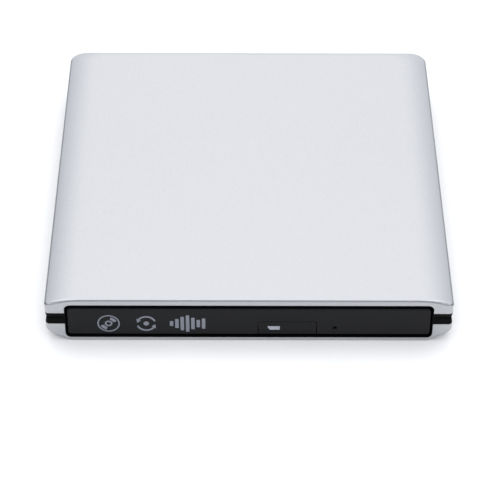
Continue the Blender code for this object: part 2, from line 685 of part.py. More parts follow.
def make_traverse():
    """The spindle motor, guide shafts, lead screw, pickup and the plate that carries them."""
    frame = bpy.data.objects.new("traverse_frame", None)
    frame.location = (0, DISC_Y * MM, 0)
    frame.rotation_euler.z = TRAVERSE_TURN
    cutters.objects.link(frame)
    frame.hide_render = True

    def put(made):
        """Hang a piece built in the traverse's own axes on its frame."""
        made.parent = frame
        return made

    ears = [
        arc(GROMMETS[0], EAR_RADIUS, 60, 300, 10),
        arc(GROMMETS[1], EAR_RADIUS, 150, 390, 10),
        arc(GROMMETS[2], EAR_RADIUS, -30, 210, 10),
    ]
    near_side = [(-18, -21), (39, -21.6)] + ears[1] + [(49, -21.6), (56, -21)]
    far_side = [(63.6, -15.5), (63.6, 17), (58.0, 22), (45, 22.6)] + ears[2] + [(35, 22.6), (5.5, 21.8)]
    motor_bay = [(5.5, 16.3), (-8, 16.5), (-8, 21.7), (-18, 22)]
    outline = near_side + far_side + motor_bay + ears[0]
    holes = [keyhole(14.4, 10.5, 61.2)] + [arc(place, 2.3, 10, 347.5, 15) for place in GROMMETS]
    chassis = put(extrusion("traverse_chassis", [outline] + holes, 8.6, 9.3, "zinc_steel"))
    ends = [(-2.0, 0.5), (58.4, 60.6)]
    for number, (u0, u1) in enumerate(ends, 1):
        for side in (-1, 1):
            v = side * SHAFT_OFFSET
            block = put(box(f"shaft_block_{number}_{side}", (u0, v - 1.6, 5.2), (u1, v + 1.6, 9.0)))
            combine(chassis, block, "UNION")
    for side in (-1, 1):
        v = side * 11.0
        post = put(box(f"motor_post_{side}", (-16, v - 1.5, 5.7), (-13.4, v + 1.5, 9.0)))
        combine(chassis, post, "UNION")
    for side in (-1, 1):
        v, z = side * SHAFT_OFFSET, SHAFT_HEIGHT
        combine(chassis, put(rod(f"shaft_bore_{side}", 1.3, (-1.6, v, z), (60.2, v, z), sides=12)))

    slot = from_traverse(keyhole(14.6, 8.5, 61.5))
    extrusion("traverse_cover", [window(0.5), slot], 10.6, 11.0, "zinc_steel")

    stator = put(rod("spindle_motor", 12.4, (0, 0, 4.8), (0, 0, 9.0), "steel", sides=32))
    combine(stator, put(box("motor_base", (-17, -13, 4.8), (-3, 13, 5.3))), "UNION")

    for name, side in (("main", 1), ("sub", -1)):
        v, z = side * SHAFT_OFFSET, SHAFT_HEIGHT
        put(rod(f"guide_shaft_{name}", 1.0, (-1.3, v, z), (59.9, v, z), "steel", sides=12))
    v, z = SCREW_OFFSET, SCREW_HEIGHT + 0.4
    motor = put(rod("stepper_motor", 2.8, (-7, v, z), (4, v, z), "zinc_steel"))
    nose = put(rod("stepper_nose", 1.5, (3, v, SCREW_HEIGHT), (5, v, SCREW_HEIGHT), sides=12))
    combine(motor, nose, "UNION")
    for number, (u, v) in enumerate(GROMMETS, 1):
        upper = [(1.6, 9.9), (3.3, 9.9), (3.3, 9.6), (2.0, 9.6)]
        lower = [(2.0, 8.3), (3.3, 8.3), (3.3, 7.6), (1.6, 7.6)]
        put(turned(f"grommet_{number}", upper + lower + upper[:1], "rubber", (u, v, 0), 16))
    make_spindle()
    make_pickup(put)
    make_lead_screw(put)


def make_spindle():
    """The turntable, its rubber ring and three spring-loaded claws that hold the disc."""
    at = (0, DISC_Y, 0)
    hub = [(0, 14.2), (6.3, 14.2), (7.3, 13.4), (7.3, 11.4)]
    flange = [(13.8, 11.4), (13.8, 9.9), (10, 9.4), (0, 9.4)]
    table = turned("turntable", hub + flange, "steel", at, 48)
    ring = [(13.4, 11.7), (10.4, 11.7), (10.4, 11.95), (13.4, 11.95), (13.4, 11.7)]
    turned("turntable_ring", ring, "rubber", at, 48)
    for number in range(CLAW_COUNT):
        angle = math.tau * number / CLAW_COUNT + math.radians(30)
        turn = Matrix.Rotation(angle, 4, "Z")
        pocket = box(f"claw_pocket_{number}", (3.6, -1.5, 12.6), (9, 1.5, 16), at=at)
        name = f"clamp_claw_{number + 1}"
        claw = box(name, (4.7, -1.15, 12.95), (7.95, 1.15, 14.0), "white_plastic", at=at)
        bevel(claw, 0.3)
        for piece in (pocket, claw):
            piece.matrix_world = Matrix.Translation(Vector(at) * MM) @ turn
        combine(table, pocket)


def make_pickup(put):
    """The sled on its two shafts, and the sprung lens holder with its lens."""
    inner = LENS_INNER_RADIUS
    main_arm = [(4.5, 10.6), (-1, 10.6), (-1, 16.3), (-9, 16.3), (-9, 17.9), (-12, 17.9), (-12, 16.3)]
    waist = [(-14, 16.3), (-14, 12.9), (-8.5, 11), (-8.5, -11)]
    sub_arm = [(-9, -12.9), (-9, -16.3), (-1, -16.3), (-1, -10.6), (4.5, -10.6)]
    outline = [(inner + u, v) for u, v in main_arm + waist + sub_arm]
    sled = put(extrusion("pickup_sled", [outline], 5.0, 8.2, "zinc_steel"))
    for side in (-1, 1):
        v, z = side * SHAFT_OFFSET, SHAFT_HEIGHT
        combine(sled, put(rod(f"sled_bore_{side}", 1.3, (0, v, z), (60, v, z), sides=12)))
    holder = put(box("lens_holder", (inner - 3.8, -6, 8.7), (inner + 3.8, 6, 10.7), "black_plastic"))
    bevel(holder, 0.3)
    combine(holder, put(rod("lens_seat", 2.5, (inner, 0, 10.0), (inner, 0, 12), sides=20)))
    dome = [(0, 11.3), (1.2, 11.15), (1.9, 10.8), (2.1, 10.6), (2.1, 10.3), (0, 10.3)]
    put(turned("lens", dome, "lens", (inner, 0, 0), 20))


def make_lead_screw(put):
    """A grooved brass shaft, drawn upright and laid along the pickup's path."""
    start = 5.6
    end = start + 54.0
    grooves = []
    for i in range(SCREW_THREADS):
        u = start + 1.2 + i * SCREW_PITCH
        grooves += [(1.0, u), (1.25, u + 0.7), (1.25, u + 1.6), (1.0, u + 2.3)]
    profile = [(0, end), (1.0, end)] + grooves[::-1] + [(1.0, start), (0, start)]
    screw = turned("lead_screw", profile, "brass", steps=12)
    axis = put(bpy.data.objects.new("lead_screw_axis", None))
    cutters.objects.link(axis)
    axis.location = Vector((0, SCREW_OFFSET, SCREW_HEIGHT)) * MM
    axis.rotation_euler.y = math.radians(90)
    screw.parent = axis


make_skins()
make_frames()
make_case_hardware()
make_drive_case()
make_ribbon()
make_tray()
make_button()
make_tray_underside()
make_rails()
make_traverse()
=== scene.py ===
"""External optical drive: materials, fine surfaces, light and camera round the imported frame.

Shapes are drawn in millimetres in the frame's own axes and become metres when their mesh is made.
"""

import json
from math import asin, atan, atan2, cos, degrees, hypot, pi, radians, sin, sqrt, tan, tau

import bmesh
import bpy
from mathutils import Matrix, Vector


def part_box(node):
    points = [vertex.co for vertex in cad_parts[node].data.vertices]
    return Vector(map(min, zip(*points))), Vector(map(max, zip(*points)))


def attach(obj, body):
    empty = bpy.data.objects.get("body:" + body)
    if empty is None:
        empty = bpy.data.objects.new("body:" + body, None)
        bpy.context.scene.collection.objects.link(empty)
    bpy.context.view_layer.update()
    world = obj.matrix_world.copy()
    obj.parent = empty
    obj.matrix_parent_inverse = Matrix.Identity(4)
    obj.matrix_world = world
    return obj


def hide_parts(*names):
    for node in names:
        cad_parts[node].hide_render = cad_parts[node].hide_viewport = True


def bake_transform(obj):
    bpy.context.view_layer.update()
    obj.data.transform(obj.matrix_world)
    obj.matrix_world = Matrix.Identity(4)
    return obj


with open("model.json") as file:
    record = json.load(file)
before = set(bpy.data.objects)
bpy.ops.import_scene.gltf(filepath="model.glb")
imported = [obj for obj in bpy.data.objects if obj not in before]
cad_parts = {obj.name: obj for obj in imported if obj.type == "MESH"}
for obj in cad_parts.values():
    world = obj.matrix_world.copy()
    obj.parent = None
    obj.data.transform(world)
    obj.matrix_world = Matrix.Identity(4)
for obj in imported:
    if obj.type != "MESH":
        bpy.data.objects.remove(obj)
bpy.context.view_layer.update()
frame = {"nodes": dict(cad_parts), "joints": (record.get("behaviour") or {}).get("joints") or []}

MM = 0.001
SAME_POINT = 0.0005


def extent(node):
    """A CAD node's lowest and highest corners, in millimetres."""
    low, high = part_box(node)
    return low / MM, high / MM


def centre_of(node):
    """A CAD node's middle seen from above, as X and Y in millimetres."""
    low, high = extent(node)
    return (low.x + high.x) / 2, (low.y + high.y) / 2


def joint(name):
    return next(one for one in frame["joints"] if one["name"] == name)


# Driving sizes, read from the frame
SHELL_LOW, SHELL_HIGH = extent("bottom_skin")[0], extent("top_skin")[1]
HALF_WIDTH = SHELL_HIGH.x - 0.01
HALF_DEPTH = SHELL_HIGH.y - 0.01
BASE = SHELL_LOW.z + 0.01
TOP = SHELL_HIGH.z - 0.01
BAND_BOTTOM = extent("bottom_skin")[1].z
BAND_TOP = extent("top_skin")[0].z
GROOVE_LOW = 10.6
GROOVE_HIGH = extent("upper_frame")[0].z
BEZEL_LOW, BEZEL_HIGH = extent("bezel")
BUTTON_LOW, BUTTON_HIGH = extent("eject_button")
SPINDLE_Y = joint("spindle_spin")["pos_m"][1] / MM
SLED_AXIS = Vector(joint("sled_slide")["axis"])
SLED_TURN = Matrix.Rotation(atan2(SLED_AXIS.y, SLED_AXIS.x), 4, "Z")
TRAVERSE = Matrix.Translation((0, SPINDLE_Y, 0)) @ SLED_TURN

# Enclosure details
SKIN = 1.0
FRONT_CORNER = 1.5
REAR_CORNER = 6.0
DROOP_RUN = 11.0
DROOP_DROP = 2.1
REAR_TO_SIDE = 5.0 / 11.0
KNUCKLE_REACH = 0.69
KNUCKLE_TILT = radians(56)
CREASE = 0.6
CREASE_SETBACK = 0.25
OPENING_HALF = 65.55
OPENING_LOW = 1.55
OPENING_HIGH = 17.0
OPENING_RADIUS = 2.1
BEZEL_WIDER = 0.25
BEZEL_LOWER = 0.35
SKIRT_INSET = 7.5
SKIRT_SLOPE = 0.55
SKIRT_REAR_TO_SIDE = 4.0 / 7.5
FOOT_RADIUS = 5.0
FEET = ("foot_front_left", "foot_front_right", "foot_rear_left", "foot_rear_right")
CASE_SCREWS = ("case_screw_left", "case_screw_right")

# Places as X and Z in the rear panel and in the bezel, and as X and Y in the tray
JACK = (-18.0, 10.7)
PINHOLE = (30.6, 5.85)
CATCH_POST = (50.5, -62.0)

# The traverse: places out from the spindle along the pickup's path and across it, and heights
PICKUP_OUT = 22.5
SHAFTS_ACROSS = 14.5
SHAFT_HEIGHT = 6.6
SCREW_ACROSS, SCREW_HEIGHT = 19.5, 7.0
SCREW_LEAD = 3.0

# Camera
ELEVATION = radians(41.3)
YAW = radians(0.43)
ROLL = radians(0.406)
DISTANCE = 0.682
LENS = 142.6
AIM = Vector((0.00016, -0.076, 0.04319))


# Meshes


def link(made):
    bpy.context.scene.collection.objects.link(made)
    return made


def solid(name, bm):
    """A new object from a bmesh drawn in millimetres."""
    bmesh.ops.remove_doubles(bm, verts=bm.verts, dist=SAME_POINT)
    bmesh.ops.scale(bm, vec=(MM, MM, MM), verts=bm.verts)
    bmesh.ops.recalc_face_normals(bm, faces=bm.faces)
    mesh = bpy.data.meshes.new(name)
    bm.to_mesh(mesh)
    bm.free()
    return link(bpy.data.objects.new(name, mesh))


def settle(made):
    """Make the modifiers' result the object's own mesh."""
    ready = made.evaluated_get(bpy.context.evaluated_depsgraph_get())
    mesh = bpy.data.meshes.new_from_object(ready)
    made.modifiers.clear()
    made.data = mesh
    return made


def tidy(made):
    """Merge coincident corners and dissolve the seams inside flat faces."""
    bm = bmesh.new()
    bm.from_mesh(made.data)
    bmesh.ops.remove_doubles(bm, verts=bm.verts, dist=SAME_POINT * MM)
    flat = radians(0.4)
    bmesh.ops.dissolve_limit(bm, angle_limit=flat, verts=bm.verts, edges=bm.edges)
    bm.to_mesh(made.data)
    bm.free()


def combine(made, *tools, operation="DIFFERENCE"):
    """Cut a shape with tools, or join them to it, and discard the tools."""
    for tool in tools:
        step = made.modifiers.new(tool.name, "BOOLEAN")
        step.operation = operation
        step.object = tool
        step.solver = "EXACT"
    settle(made)
    for tool in tools:
        bpy.data.objects.remove(tool)
    return made


def soften(made, width, segments=2, angle=32.0, clean=True, smooth=44.0):
    """Round a shape's edges, and shade it smooth with its flat faces kept flat."""
    if clean:
        tidy(made)
    step = made.modifiers.new("edges", "BEVEL")
    step.width = width * MM
    step.segments = segments
    step.limit_method = "ANGLE"
    step.angle_limit = radians(angle)
    step.miter_outer = "MITER_ARC"
    settle(made)
    return shade(made, smooth)


def shade(made, angle):
    """Smooth shading, with edges sharper than the angle kept sharp."""
    made.data.shade_smooth()
    made.data.set_sharp_from_angle(angle=radians(angle))
    normals = made.modifiers.new("normals", "WEIGHTED_NORMAL")
    normals.keep_sharp = True
    normals.weight = 80
    return settle(made)


def join(name, pieces):
    """One object from several."""
    bm = bmesh.new()
    for piece in pieces:
        bm.from_mesh(piece.data)
        bpy.data.objects.remove(piece)
    mesh = bpy.data.meshes.new(name)
    bm.to_mesh(mesh)
    bm.free()
    return link(bpy.data.objects.new(name, mesh))


def moved(made, matrix):
    """Move a shape's mesh by a matrix in millimetres."""
    scale = Matrix.Diagonal((MM, MM, MM, 1))
    made.data.transform(scale @ matrix @ scale.inverted())
    return made


def box(name, low, high):
    """A block between two opposite corners."""
    bm = bmesh.new()
    bmesh.ops.create_cube(bm, size=1.0)
    size = [abs(b - a) for a, b in zip(low, high)]
    middle = [(a + b) / 2 for a, b in zip(low, high)]
    place = Matrix.Translation(middle) @ Matrix.Diagonal((*size, 1))
    bmesh.ops.transform(bm, matrix=place, verts=bm.verts)
    return solid(name, bm)


def rod(name, radius, start, end, sides=48, end_radius=None):
    """A cylinder or cone between two points."""
    bm = bmesh.new()
    axis = Vector(end) - Vector(start)
    turn = Vector((0, 0, 1)).rotation_difference(axis).to_matrix().to_4x4()
    middle = (Vector(start) + Vector(end)) / 2
    bmesh.ops.create_cone(
        bm,
        cap_ends=True,
        segments=sides,
        radius1=radius,
        radius2=radius if end_radius is None else end_radius,
        depth=axis.length,
        matrix=Matrix.Translation(middle) @ turn,
    )
    return solid(name, bm)


def pole(radius, at, low, high, sides=48, end_radius=None):
    """An upright rod at a place seen from above."""
    return rod("pole", radius, (*at, low), (*at, high), sides, end_radius)


def arc(centre, radius, start, end, steps):
    """Points on an arc, by degrees."""
    angles = [radians(start + (end - start) * i / steps) for i in range(steps + 1)]
    return [(centre[0] + radius * cos(a), centre[1] + radius * sin(a)) for a in angles]


def circle(centre, radius, sides=48):
    return arc(centre, radius, 0, 360 - 360 / sides, sides - 1)


def rounded_rectangle(low, high, radius, steps=6):
    """Corners in the order right front, right rear, left rear, left front."""
    (x0, y0), (x1, y1) = low, high
    r = (radius,) * 4 if isinstance(radius, (int, float)) else radius
    return (
        arc((x1 - r[0], y0 + r[0]), r[0], -90, 0, steps)
        + arc((x1 - r[1], y1 - r[1]), r[1], 0, 90, steps)
        + arc((x0 + r[2], y1 - r[2]), r[2], 90, 180, steps)
        + arc((x0 + r[3], y0 + r[3]), r[3], 180, 270, steps)
    )


def turn_by(angle, axis="Z"):
    return Matrix.Rotation(radians(angle), 4, axis)


AXES = {
    "Z": Matrix.Identity(4),
    "Y": turn_by(90, "X"),
    "X": Matrix(((0, 0, 1, 0), (1, 0, 0, 0), (0, 1, 0, 0), (0, 0, 0, 1))),
}


def prism(name, loops, low, high, along="Z"):
    """Flat outlines, the first one outside and the rest holes, between two planes of one axis.

    The outline's two numbers are X, Y along Z, X, Z along Y and Y, Z along X.
    """
    curve = bpy.data.curves.new(name, "CURVE")
    curve.dimensions = "2D"
    curve.fill_mode = "BOTH"
    curve.extrude = (high - low) / 2 * MM
    for loop in loops:
        spline = curve.splines.new("POLY")
        spline.points.add(len(loop) - 1)
        for point, (u, v) in zip(spline.points, loop):
            point.co = (u * MM, v * MM, 0, 1)
        spline.use_cyclic_u = True
    guide = link(bpy.data.objects.new(name, curve))
    ready = guide.evaluated_get(bpy.context.evaluated_depsgraph_get())
    mesh = bpy.data.meshes.new_from_object(ready)
    bpy.data.objects.remove(guide)
    offset = (high + low) / 2 * MM
    lift = {"Z": (0, 0, offset), "Y": (0, offset, 0), "X": (offset, 0, 0)}[along]
    mesh.transform(Matrix.Translation(lift) @ AXES[along])
    bm = bmesh.new()
    bm.from_mesh(mesh)
    bmesh.ops.remove_doubles(bm, verts=bm.verts, dist=SAME_POINT * MM)
    bmesh.ops.recalc_face_normals(bm, faces=bm.faces)
    bm.to_mesh(mesh)
    bm.free()
    mesh.materials.clear()
    return link(bpy.data.objects.new(name, mesh))


def loft(name, rings, closed=True, wrap=False):
    """Quads between rings of equally many points. wrap joins the last ring to the first one."""
    bm = bmesh.new()
    grid = [[bm.verts.new(point) for point in ring] for ring in rings]
    count = len(grid[0])
    for lower, upper in zip(grid, grid[1:] + (grid[:1] if wrap else [])):
        for i in range(count if closed else count - 1):
            j = (i + 1) % count
            bm.faces.new((lower[i], lower[j], upper[j], upper[i]))
    if not wrap:
        bm.faces.new(list(reversed(grid[0])))
        bm.faces.new(grid[-1])
    elif not closed:
        bm.faces.new([ring[0] for ring in grid])
        bm.faces.new([ring[-1] for ring in reversed(grid)])
    return solid(name, bm)


def turned(name, profile, at=(0, 0), steps=96, hollow=False):
    """A solid of revolution about Z from radius and height pairs."""
    angles = [tau * i / steps for i in range(steps)]
    rings = [
        [(at[0] + max(r, 0.002) * cos(a), at[1] + max(r, 0.002) * sin(a), z) for a in angles]
        for r, z in profile
    ]
    return loft(name, rings, wrap=hollow)


# Materials


class Finish:
    """A Principled material with helpers for its procedural detail."""

    def __init__(self, name, colour, roughness, metallic=0.0):
        self.name = name
        self.material = bpy.data.materials.new(name)
        self.material.use_nodes = True
        self.tree = self.material.node_tree
        self.shader = self.tree.nodes["Principled BSDF"]
        self.colour = colour
        self.set("Base Color", (*colour, 1.0))
        self.set("Roughness", roughness)
        self.set("Metallic", metallic)
        self.where = self.node("ShaderNodeTexCoord").outputs["Object"]
        self.normal = None

    def node(self, kind, **settings):
        made = self.tree.nodes.new(kind)
        for key, value in settings.items():
            setattr(made, key, value)
        return made

    def set(self, socket, value):
        self.shader.inputs[socket].default_value = value

    def link(self, source, socket):
        self.tree.links.new(source, socket)

    def feed(self, socket, source):
        self.link(source, self.shader.inputs[socket])

    def stretched(self, scale):
        """Coordinates scaled differently on each axis."""
        made = self.node("ShaderNodeMapping")
        made.inputs["Scale"].default_value = scale
        self.link(self.where, made.inputs["Vector"])
        return made.outputs["Vector"]

    def noise(self, scale, detail=2.0, roughness=0.5, where=None):
        made = self.node("ShaderNodeTexNoise")
        made.inputs["Scale"].default_value = scale
        made.inputs["Detail"].default_value = detail
        made.inputs["Roughness"].default_value = roughness
        self.link(where or self.where, made.inputs["Vector"])
        return made.outputs["Fac"]

    def cells(self, scale, output="Color"):
        made = self.node("ShaderNodeTexVoronoi")
        made.inputs["Scale"].default_value = scale
        self.link(self.where, made.inputs["Vector"])
        return made.outputs[output]

    def remap(self, value, low, high, start=0.0, end=1.0):
        """The value between start and end, as a number from low to high."""
        made = self.node("ShaderNodeMapRange")
        for socket, number in (("From Min", start), ("From Max", end), ("To Min", low), ("To Max", high)):
            made.inputs[socket].default_value = number
        self.link(value, made.inputs["Value"])
        return made.outputs["Result"]

    def mix(self, factor, first, second):
        """A colour between two colours or colour outputs."""
        made = self.node("ShaderNodeMix", data_type="RGBA")
        for socket, colour in ((made.inputs[6], first), (made.inputs[7], second)):
            if isinstance(colour, tuple):
                socket.default_value = (*colour, 1.0)
            else:
                self.link(colour, socket)
        self.link(factor, made.inputs[0])
        return made.outputs[2]

    def relief(self, height, depth, strength):
        """Bump of that many millimetres, on top of any before it."""
        made = self.node("ShaderNodeBump")
        made.inputs["Strength"].default_value = strength
        made.inputs["Distance"].default_value = depth * MM
        self.link(height, made.inputs["Height"])
        if self.normal:
            self.link(self.normal, made.inputs["Normal"])
        self.normal = made.outputs["Normal"]
        self.feed("Normal", self.normal)


def shaded(colour, factor):
    return tuple(min(part * factor, 1.0) for part in colour)


def speckled(finish, scale, amount):
    """Colour that varies a little in fine grains."""
    grain = finish.remap(finish.noise(scale, 3.0), 0.0, 1.0, 0.3, 0.7)
    dark, light = shaded(finish.colour, 1 - amount), shaded(finish.colour, 1 + amount)
    finish.feed("Base Color", finish.mix(grain, dark, light))


def silver_paint():
    """Fine metallic paint with a barely visible flake and a slightly uneven sheen."""
    made = Finish("silver_paint", (0.445, 0.452, 0.472), 0.3, 0.84)
    flakes = made.remap(made.noise(2600, 3.0, 0.7), 0.0, 1.0, 0.32, 0.68)
    fine = made.mix(flakes, shaded(made.colour, 0.93), shaded(made.colour, 1.07))
    broad = made.mix(flakes, shaded(made.colour, 0.96), shaded(made.colour, 1.05))
    drift = made.remap(made.noise(9, 2.0), 0.0, 1.0, 0.35, 0.65)
    made.feed("Base Color", made.mix(drift, fine, broad))
    made.feed("Roughness", made.remap(made.noise(60, 4.0), 0.293, 0.307, 0.3, 0.7))
    made.relief(made.noise(3200, 2.0), 0.004, 0.5)
    return made


def moulded(name, colour, roughness, grain, depth, gloss):
    """Injection-moulded plastic with a spark-eroded grain."""
    made = Finish(name, colour, roughness)
    made.set("Specular IOR Level", gloss)
    speckled(made, grain, 0.25)
    worn = made.remap(made.noise(25, 4.0), roughness - 0.05, roughness + 0.06, 0.3, 0.7)
    made.feed("Roughness", worn)
    made.relief(made.cells(grain, "Distance"), depth, 0.5)
    made.relief(made.noise(grain * 0.6, 3.0), depth, 0.5)
    return made


def metal(name, colour, roughness, stretch, depth):
    """Drawn or brushed metal with a grain along one axis."""
    made = Finish(name, colour, roughness, 1.0)
    lines = made.noise(1.0, 4.0, 0.6, made.stretched(stretch))
    made.feed("Base Color", made.mix(lines, shaded(colour, 0.86), shaded(colour, 1.1)))
    made.feed("Roughness", made.remap(lines, roughness - 0.06, roughness + 0.1, 0.3, 0.7))
    made.relief(lines, depth, 0.4)
    return made


def zinc_steel():
    """Galvanised sheet with its crystals just visible."""
    made = Finish("zinc_steel", (0.56, 0.57, 0.58), 0.38, 1.0)
    crystals = made.cells(260)
    tone = made.node("ShaderNodeRGBToBW")
    made.link(crystals, tone.inputs[0])
    made.feed("Base Color", made.mix(tone.outputs[0], (0.5, 0.51, 0.525), (0.62, 0.625, 0.63)))
    made.feed("Roughness", made.remap(tone.outputs[0], 0.3, 0.48))
    made.relief(made.noise(500, 3.0), 0.004, 0.3)
    return made


def circuit_board():
    """Green solder mask over copper tracks, with tinned vias."""
    made = Finish("circuit_board", (0.012, 0.11, 0.045), 0.38)
    bricks = made.node("ShaderNodeTexBrick", offset=0.37, squash=0.6, squash_frequency=3)
    bricks.inputs["Scale"].default_value = 330
    bricks.inputs["Mortar Size"].default_value = 0.09
    made.link(made.where, bricks.inputs["Vector"])
    tracks = bricks.outputs["Fac"]
    masked = made.mix(tracks, (0.010, 0.095, 0.04), (0.03, 0.2, 0.085))
    vias = made.remap(made.cells(420, "Distance"), 1.0, 0.0, 0.1, 0.14)
    made.feed("Base Color", made.mix(vias, masked, (0.55, 0.52, 0.42)))
    made.feed("Metallic", made.remap(vias, 0.0, 0.9))
    made.relief(tracks, 0.02, 0.6)
    return made


def grained(name, colour, roughness, speckle, wear, grain=None, **sockets):
    """A plain finish with speckled colour, an uneven sheen and, if wanted, a fine grain in relief.

    speckle is a scale and an amount, wear a scale, its detail and the lowest and highest roughness, and
    grain a scale, a depth and a strength.
    """
    made = Finish(name, colour, roughness)
    for socket, value in sockets.items():
        made.set(socket.replace("_", " ").title(), value)
    speckled(made, *speckle)
    scale, detail, low, high = wear
    made.feed("Roughness", made.remap(made.noise(scale, detail), low, high, 0.3, 0.7))
    if grain:
        scale, depth, strength = grain
        made.relief(made.noise(scale, 3.0), depth, strength)
    return made


def lens_glass():
    made = Finish("lens", (0.55, 0.66, 0.92), 0.03)
    made.set("Transmission Weight", 0.85)
    made.set("IOR", 1.52)
    made.set("Coat Weight", 1.0)
    made.set("Coat Tint", (0.75, 0.7, 1.0, 1.0))
    made.feed("Roughness", made.remap(made.noise(600, 2.0), 0.02, 0.05))
    return made


def ribbon():
    """Flat cable: fine conductors side by side under a clear film."""
    made = Finish("ribbon", (0.7, 0.68, 0.6), 0.32)
    lines = made.node("ShaderNodeTexWave", wave_type="BANDS", bands_direction="X")
    lines.inputs["Scale"].default_value = 320
    made.link(made.where, lines.inputs["Vector"])
    made.feed("Base Color", made.mix(lines.outputs["Fac"], (0.78, 0.77, 0.72), (0.5, 0.47, 0.4)))
    made.relief(lines.outputs["Fac"], 0.02, 0.5)
    made.set("Coat Weight", 0.5)
    return made


FINISHES = {
    made.name: made
    for made in (
        silver_paint(),
        moulded("black_plastic", (0.002, 0.002, 0.0024), 0.6, 1800, 0.012, 0.06),
        moulded("bezel_black", (0.0055, 0.0057, 0.0075), 0.42, 2600, 0.006, 0.17),
        grained("rubber", (0.022, 0.022, 0.023), 0.8, (900, 0.3), (120, 3.0, 0.72, 0.9), (1500, 0.02, 0.6)),
        metal("steel", (0.62, 0.63, 0.64), 0.28, (40, 2200, 2200), 0.004),
        zinc_steel(),
        circuit_board(),
        grained("chip", (0.02, 0.02, 0.022), 0.5, (2400, 0.35), (200, 3.0, 0.42, 0.6), (2600, 0.01, 0.5)),
        grained(
            "white_plastic", (0.78, 0.78, 0.755), 0.42, (700, 0.03), (90, 3.0, 0.36, 0.5), (900, 0.01, 0.4),
            subsurface_weight=0.15, subsurface_radius=(0.001, 0.001, 0.0008),
        ),
        grained(
            "light_window", (0.36, 0.38, 0.44), 0.3, (1600, 0.08), (400, 2.0, 0.24, 0.36), coat_weight=0.4,
        ),
        metal("brass", (0.8, 0.58, 0.27), 0.3, (1500, 1500, 60), 0.004),
        lens_glass(),
        ribbon(),
        grained("mark_print", (0.20, 0.215, 0.255), 0.55, (5000, 0.12), (800, 2.0, 0.48, 0.62)),
    )
}


def paint(made, finish, body, *nodes, slot=None):
    """Finish a piece, let it ride on a body and stand for its CAD nodes."""
    made.data.materials.clear()
    made.data.materials.append(FINISHES[finish].material)
    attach(made, body)
    if nodes:
        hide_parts(*nodes)


def ease(node):
    """Round a CAD node's edges a little with modifiers, and leave its mesh alone."""
    weld = node.modifiers.new("weld", "WELD")
    weld.merge_threshold = 0.000001
    edges = node.modifiers.new("edges", "BEVEL")
    edges.width = 0.12 * MM
    edges.segments = 2
    edges.limit_method = "ANGLE"
    edges.angle_limit = radians(34)
    edges.use_clamp_overlap = True


# Enclosure


def round_the_rear(start, x1, y1, corner, rear_corner, first, z):
    """A ring at one height, from a start in front round the right side and the rear to the left."""
    front = start[1]
    right = [start] + arc((x1 - corner, front + corner), corner, first, 0, 6)
    right += arc((x1 - rear_corner, y1 - rear_corner), rear_corner, 0, 90, 18)
    return [(x, y, z) for x, y in right + [(-x, y) for x, y in reversed(right)]]


def side_path(height, side, rear, depth, setback):
    """A U-shaped ring of a shell, from the right front corner round the rear to the left one."""
    x1, y1 = HALF_WIDTH - side, HALF_DEPTH - rear
    corner = FRONT_CORNER - depth
    start = (x1 - corner, -(HALF_DEPTH - depth - setback))
    return round_the_rear(start, x1, y1, corner, REAR_CORNER - depth, -78, height)


def offset_section(levels, amounts):
    """The section's levels moved inwards, each by its own amount, square to the section."""
    last = len(levels) - 1
    away = -1 if levels[-1][0] > levels[0][0] else 1
    inside = []
    for i, ((z, side, rear), amount) in enumerate(zip(levels, amounts)):
        before, after = levels[max(i - 1, 0)], levels[min(i + 1, last)]
        rise, run = abs(after[0] - before[0]), after[1] - before[1]
        length = hypot(rise, run)
        across = 0.0 if i == last else amount * rise / length
        down = amount if i == last else amount * run / length
        inside.append((z + away * down, side + across, rear + across))
    return inside


def shell(name, levels, opening, crease=0.0):
    """A pressed metal shell: sides lofted through the levels, a plate and a front wall round the opening.

    A crease is a narrow chamfer, that high, between the plate's edge and the front wall.
    """
    bm = bmesh.new()
    outlines = []
    for depth, section in ((0.0, levels), (SKIN, offset_section(levels, [SKIN] * len(levels)))):
        shares = [0.0 if depth else min(side / KNUCKLE_REACH, 1.0) for z, side, rear in section]
        rings = []
        for level, share in zip(section, shares):
            path = side_path(*level, depth, CREASE_SETBACK * share if crease else 0.0)
            rings.append([bm.verts.new(point) for point in path])
        for lower, upper in zip(rings, rings[1:]):
            for i in range(len(lower) - 1):
                bm.faces.new((lower[i], lower[i + 1], upper[i + 1], upper[i]))
        bm.faces.new(rings[-1])
        right, left = [ring[0] for ring in rings], [ring[-1] for ring in rings]
        if crease and not depth:
            marks = offset_section(section, [crease * share for share in shares])
            reach = HALF_WIDTH - FRONT_CORNER
            marked = [
                [bm.verts.new((sign * (reach - side), -HALF_DEPTH, z)) for z, side, rear in marks]
                for sign in (1, -1)
            ]
            for edge, mark in zip((right, left), marked):
                for i in range(len(edge) - 1):
                    bm.faces.new((edge[i], edge[i + 1], mark[i + 1], mark[i]))
            bm.faces.new((right[-1], left[-1], marked[1][-1], marked[0][-1]))
            right, left = marked
        edge = [bm.verts.new((x, depth - HALF_DEPTH, z)) for x, z in opening]
        bm.faces.new(right + left[::-1] + edge)
        outlines.append(rings[0] + edge)
    outer, inner = outlines
    for i in range(len(outer)):
        j = (i + 1) % len(outer)
        bm.faces.new((outer[i], outer[j], inner[j], inner[i]))
    return solid(name, bm)


